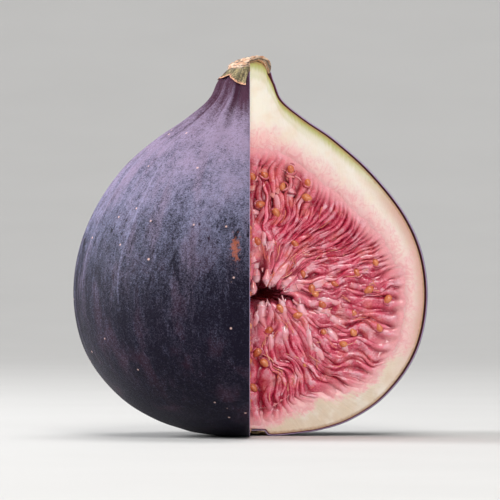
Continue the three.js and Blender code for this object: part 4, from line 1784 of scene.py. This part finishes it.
@dataclass
class Stalk:
    """The dried end of the stalk: a crust over the cut end and a torn scale that hangs over the neck."""

    form: FigForm
    finish: StalkFinish = StalkFinish()
    columns: int = 140

    def build(self) -> list[bpy.types.Object]:
        """Builds the crust and the scale.

        Returns:
            The pieces.
        """
        return [self._crust(), self._scale()]

    def _slope(self, points: np.ndarray) -> np.ndarray:
        """Lowers the top of the stalk towards the left and makes it uneven."""
        upper = smooth(55.6, 57.9, points[:, 2])
        points[:, 2] += 0.22 * np.minimum(0.0, points[:, 0] - 1.2) * upper
        points[:, 2] += 0.22 * grain(points, 0.75, 3.0) * upper
        points[:, :2] *= (1.0 + 0.04 * grain(points, 1.0, 8.0))[:, None]
        points[:, 2] = np.minimum(points[:, 2], self.form.height - 0.02)
        return points

    def _turned_part(self, profile: Outline, rows: int, wide: Callable[[np.ndarray], np.ndarray]) -> tuple:
        """Turns a closed profile through the kept part of the turn, with flat ends on the cut faces.

        Args:
            profile: a closed line of radii and heights.
            rows: how many points it is given.
            wide: the width at an angle, as a share.

        Returns:
            The points, the faces, and the angle and share along the profile of each point.
        """
        shares = np.linspace(0.0, 1.0, rows, endpoint=False)
        line = profile.at(shares)
        angle = np.linspace(0.0, KEPT_TURN, self.columns)
        left = 0.5 * (1.0 - np.cos(angle))[:, None]
        wider = 1.0 + 0.2 * left * smooth(57.4, 58.4, line[None, :, 1])
        reach = line[None, :, 0] * wide(angle)[:, None] * wider
        lean = self.form.lean(line[None, :, 1])
        across = reach * np.cos(angle)[:, None] + lean * smooth(0.0, 1.6, line[None, :, 0])
        height = np.broadcast_to(line[:, 1], reach.shape)
        points = np.stack([across, reach * np.sin(angle)[:, None], height], axis=-1)
        points[0, :, 1] = 0.0
        points[-1, :, 0] = 0.0
        faces = closed_faces(self.columns, rows)
        return points.reshape(-1, 3), faces, np.repeat(angle, rows), np.tile(shares, self.columns)

    def _crust(self) -> bpy.types.Object:
        """The crust over the cut end, which also wraps the top of the neck."""
        outline = Outline.through([
            (0.02, 57.74), (1.0, 57.72), (1.85, 57.5), (2.4, 57.0), (2.7, 56.4), (2.88, 56.0), (3.05, 55.78),
            (3.22, 55.95), (3.25, 56.4), (3.3, 56.9), (3.28, 57.35), (3.04, 57.8), (2.5, 58.2), (1.75, 58.5),
            (1.0, 58.6), (0.4, 58.45), (0.02, 58.42),
        ])
        points, faces, turn, share = self._turned_part(
            outline, 64, lambda angle: 1.0 + 0.02 * (1.0 - np.cos(angle)) + 0.02 * np.cos(7.0 * angle))
        points = self._slope(points)
        piece = new_piece("stalk_crust", points, faces)
        give_values(piece, outer=smooth(0.36, 0.5, share), over=share, turn=turn)
        seal(piece, 60.0)
        dress(piece, "stalk", self.finish.crust())
        return piece

    def _scale(self) -> bpy.types.Object:
        """The thin scale round the stalk, torn into lobes along its lower edge."""
        around, rows, thickness = 150, 26, 0.14
        angle = np.linspace(0.5 * math.pi, KEPT_TURN, around)
        turns = (1.57, 1.75, 2.2, 2.72, 2.95, 3.3, 3.75, 4.0, 4.12, 4.35, 4.71)
        edges = (54.4, 55.4, 54.3, 55.3, 54.7, 54.8, 55.25, 55.55, 55.1, 54.4, 53.95)
        spots = np.stack([angle * 4.0, np.zeros_like(angle), np.zeros_like(angle)], axis=-1)
        low = np.interp(angle, turns, edges) + 0.16 * grain(spots, 0.5, 1.0)
        sides = [self._scale_side(angle, low, rows, extra) for extra in (thickness, 0.0)]
        grid = np.concatenate([sides[0][0], sides[1][0][::-1]], axis=0)
        edge = np.concatenate([sides[0][1], sides[1][1][::-1]], axis=0)
        points = grid.transpose(1, 0, 2).reshape(-1, 3)
        ring = grid.shape[0]
        faces = closed_faces(around, ring)
        points = self._slope(points)
        points[:, 0] = np.minimum(points[:, 0], 0.0)
        piece = new_piece("stalk_scale", points, faces)
        give_values(piece, edge=edge.T, turn=np.repeat(angle, ring), rise=points[:, 2])
        seal(piece, 60.0)
        dress(piece, "stalk", self.finish.scale())
        return piece

    def _scale_side(self, angle: np.ndarray, low: np.ndarray, rows: int,
                    extra: float) -> tuple[np.ndarray, np.ndarray]:
        """One side of the scale.

        Args:
            angle: the angles of its columns.
            low: the height of its lower edge at each.
            rows: how many rows it has.
            extra: how far it stands off.

        Returns:
            (rows, columns, 3) points and how far each is from the lower edge.
        """
        neck = self.form.skin_line()
        heights, radii = neck.line[::-1, 1], neck.line[::-1, 0]
        share = np.linspace(0.0, 1.0, rows)[:, None]
        top = 57.0
        height = low + (top - low) * share
        radius = np.interp(height, heights[::-1], radii[::-1])
        top_radius = np.interp(height, (55.4, 56.0, 56.8, 57.8), (3.78, 3.5, 3.28, 3.2))
        radius = np.where(height > 55.4, top_radius, radius)
        from_edge = height - low
        across = np.broadcast_to(angle * 9.0, height.shape)
        spots = np.stack([across, height * 0.5, np.zeros_like(height)], axis=-1)
        wrinkles = 0.1 * grain(spots.reshape(-1, 3), 1.0, 5.0).reshape(height.shape)
        left = np.exp(-(((angle - 3.05) / 0.5) ** 2))
        flare = 0.1 + (0.22 - 0.3 * left) * np.exp(-from_edge / 0.7) + wrinkles
        reach = radius + flare + extra + self.form.swell(angle, height) * (1.0 - smooth(54.5, 56.0, height))
        lean = self.form.lean(height)
        points = np.stack([reach * np.cos(angle) + lean, reach * np.sin(angle), height], axis=-1)
        return points, from_edge


@dataclass
class EyeScales:
    """The small scales that close the eye in the base."""

    form: FigForm
    count: int = 11

    def build(self) -> bpy.types.Object:
        """Builds the scales.

        Returns:
            The piece.
        """
        shell = bmesh.new()
        draws = Draws(77)
        for i in range(self.count):
            ring = i % 2
            angle = 2.0 * math.pi * (i + 0.4) / self.count
            self._scale(shell, angle, 1.75 - 0.55 * ring, self.form.eye_depth - 0.1 - 0.22 * ring, draws)
        cut_off = [face for face in shell.faces if self._cut_off(face.calc_center_median())]
        bmesh.ops.delete(shell, geom=cut_off, context="FACES")
        bmesh.ops.holes_fill(shell, edges=shell.edges)
        mesh = bpy.data.meshes.new("eye_scales")
        shell.to_mesh(mesh)
        shell.free()
        piece = new_object("eye_scales", mesh)
        seal(piece, 60.0)
        dress(piece, "skin", self._material())
        return piece

    @staticmethod
    def _cut_off(place: Vector) -> bool:
        """Whether a place is in the quarter that is cut away."""
        return place.x > 0.0 and place.y < 0.0

    def _scale(self, shell: bmesh.types.BMesh, angle: float, out: float, height: float, draws: Draws) -> None:
        """Adds one scale, a pointed leaf that leans towards the axis."""
        made = bmesh.ops.create_uvsphere(shell, u_segments=10, v_segments=7, radius=1.0)
        length, width, thick = draws.between(0.85, 1.05), draws.between(0.5, 0.62), 0.14
        cos, sin = math.cos(angle), math.sin(angle)
        for vert in made["verts"]:
            x, y, z = vert.co
            x, y, z = x * length + out, y * width * (1.0 + 0.35 * x), z * thick + 0.12 * x * x
            vert.co = Vector((x * cos - y * sin + 0.02, x * sin + y * cos - 0.02, height + z)) * MM

    def _material(self) -> bpy.types.Material:
        """Makes the scales' material."""
        paint = Paint("fig_eye_scales")
        cloud = paint.noise(paint.place(), 0.6, 2.0)
        colour = paint.mix(paint.step(0.35, 0.65, cloud), (0.2, 0.12, 0.05), (0.42, 0.3, 0.14))
        return paint.finish(colour, 0.55, paint.bump(cloud, 0.05))


@dataclass
class Studio:
    """A pale floor that runs up behind, soft lights and the camera."""

    distance: float = 900.0
    frame_width: float = 77.0
    middle: float = 28.64

    def build(self) -> None:
        """Builds the studio."""
        self._floor()
        self._camera()
        self._light("key", (20.0, -500.0, 440.0), 240.0, 1.85, (1.0, 0.985, 0.96))
        self._light("fill", (330.0, -420.0, 90.0), 380.0, 0.8, (0.97, 0.98, 1.0))
        self._light("rim", (-480.0, 60.0, 220.0), 300.0, 3.4, (0.95, 0.97, 1.0))
        self._light("top", (40.0, 60.0, 520.0), 420.0, 0.6, (1.0, 1.0, 1.0))
        self._light("backdrop", (0.0, 500.0, 1500.0), 1200.0, 15.0, (1.0, 1.0, 1.0), (0.0, 1800.0, 200.0))
        world = bpy.data.worlds.new("studio")
        bpy.context.scene.world = world
        world.use_nodes = True
        board = Board(world.node_tree)
        sky = board.add("ShaderNodeBackground", None, {"Color": (0.9, 0.92, 0.95), "Strength": 0.3})
        board.node("ShaderNodeOutputWorld", None, {"Surface": sky})
        bpy.context.scene.view_settings.view_transform = "Standard"

    def _floor(self) -> None:
        """A floor that curves up into a wall."""
        start, curve, top = 600.0, 1600.0, 3000.0
        profile = [(-2500.0, 0.0), (start, 0.0)]
        profile += [(start + curve * math.sin(turn), curve - curve * math.cos(turn))
                    for turn in np.linspace(0.04, 1.57, 40)]
        profile += [(start + curve, top)]
        points = [(x, y, z) for x in (-2500.0, 2500.0) for y, z in profile]
        count = len(profile)
        faces = [(i, i + count, i + count + 1, i + 1) for i in range(count - 1)]
        floor = new_piece("studio_floor", np.array(points), faces)
        paint = Paint("studio_paper")
        soft = paint.noise(paint.place(), 40.0, 2.0)
        colour = paint.mix(soft, (0.57, 0.56, 0.545), (0.61, 0.6, 0.585))
        floor.data.materials.append(paint.finish(colour, 0.8))

    def _camera(self) -> None:
        """The camera, level with the middle of the picture."""
        data = bpy.data.cameras.new("camera")
        data.sensor_width = 36.0
        data.lens = 36.0 * self.distance / self.frame_width
        data.clip_start, data.clip_end = 0.01, 20.0
        camera = new_object("camera", data)
        camera.location = (0.0, -self.distance * MM, self.middle * MM)
        camera.rotation_euler = (math.pi / 2, 0.0, 0.0)
        bpy.context.scene.camera = camera

    def _light(self, name: str, place: tuple[float, float, float], size: float, power: float, colour: Colour,
               target: tuple[float, float, float] = (0.0, 0.0, 26.0)) -> None:
        """Adds one soft light.

        Args:
            name: its name.
            place: where it is.
            size: its width.
            power: its power in watts.
            colour: its colour.
            target: what it points at.
        """
        data = bpy.data.lights.new(name, "AREA")
        data.shape = "DISK"
        data.size = size * MM
        data.energy = power
        data.color = colour
        light = new_object(name, data)
        light.location = Vector(place) * MM
        aim = Vector(target) * MM - light.location
        light.rotation_euler = aim.to_track_quat("-Z", "Y").to_euler()


def main() -> None:
    """Builds the fig and the studio."""
    logging.basicConfig(level=logging.INFO, format="%(name)s: %(message)s")
    form = FigForm()
    faces = CutFaces(form)
    Skin(form).build()
    EyeScales(form).build()
    Flesh(faces).build()
    both = {face: Florets(faces, face, seed) for face, seed in ((Face.FRONT, 11), (Face.SIDE, 29))}
    PulpBed(both).build()
    for face, florets in both.items():
        seeds = Seeds(florets)
        florets.build(seeds.spots)
        PaleTips(faces, face, florets.seed).build()
        seeds.build()
        Threads(florets).build()
    Stalk(form).build()
    Studio().build()


if __name__ == "__main__":
    main()
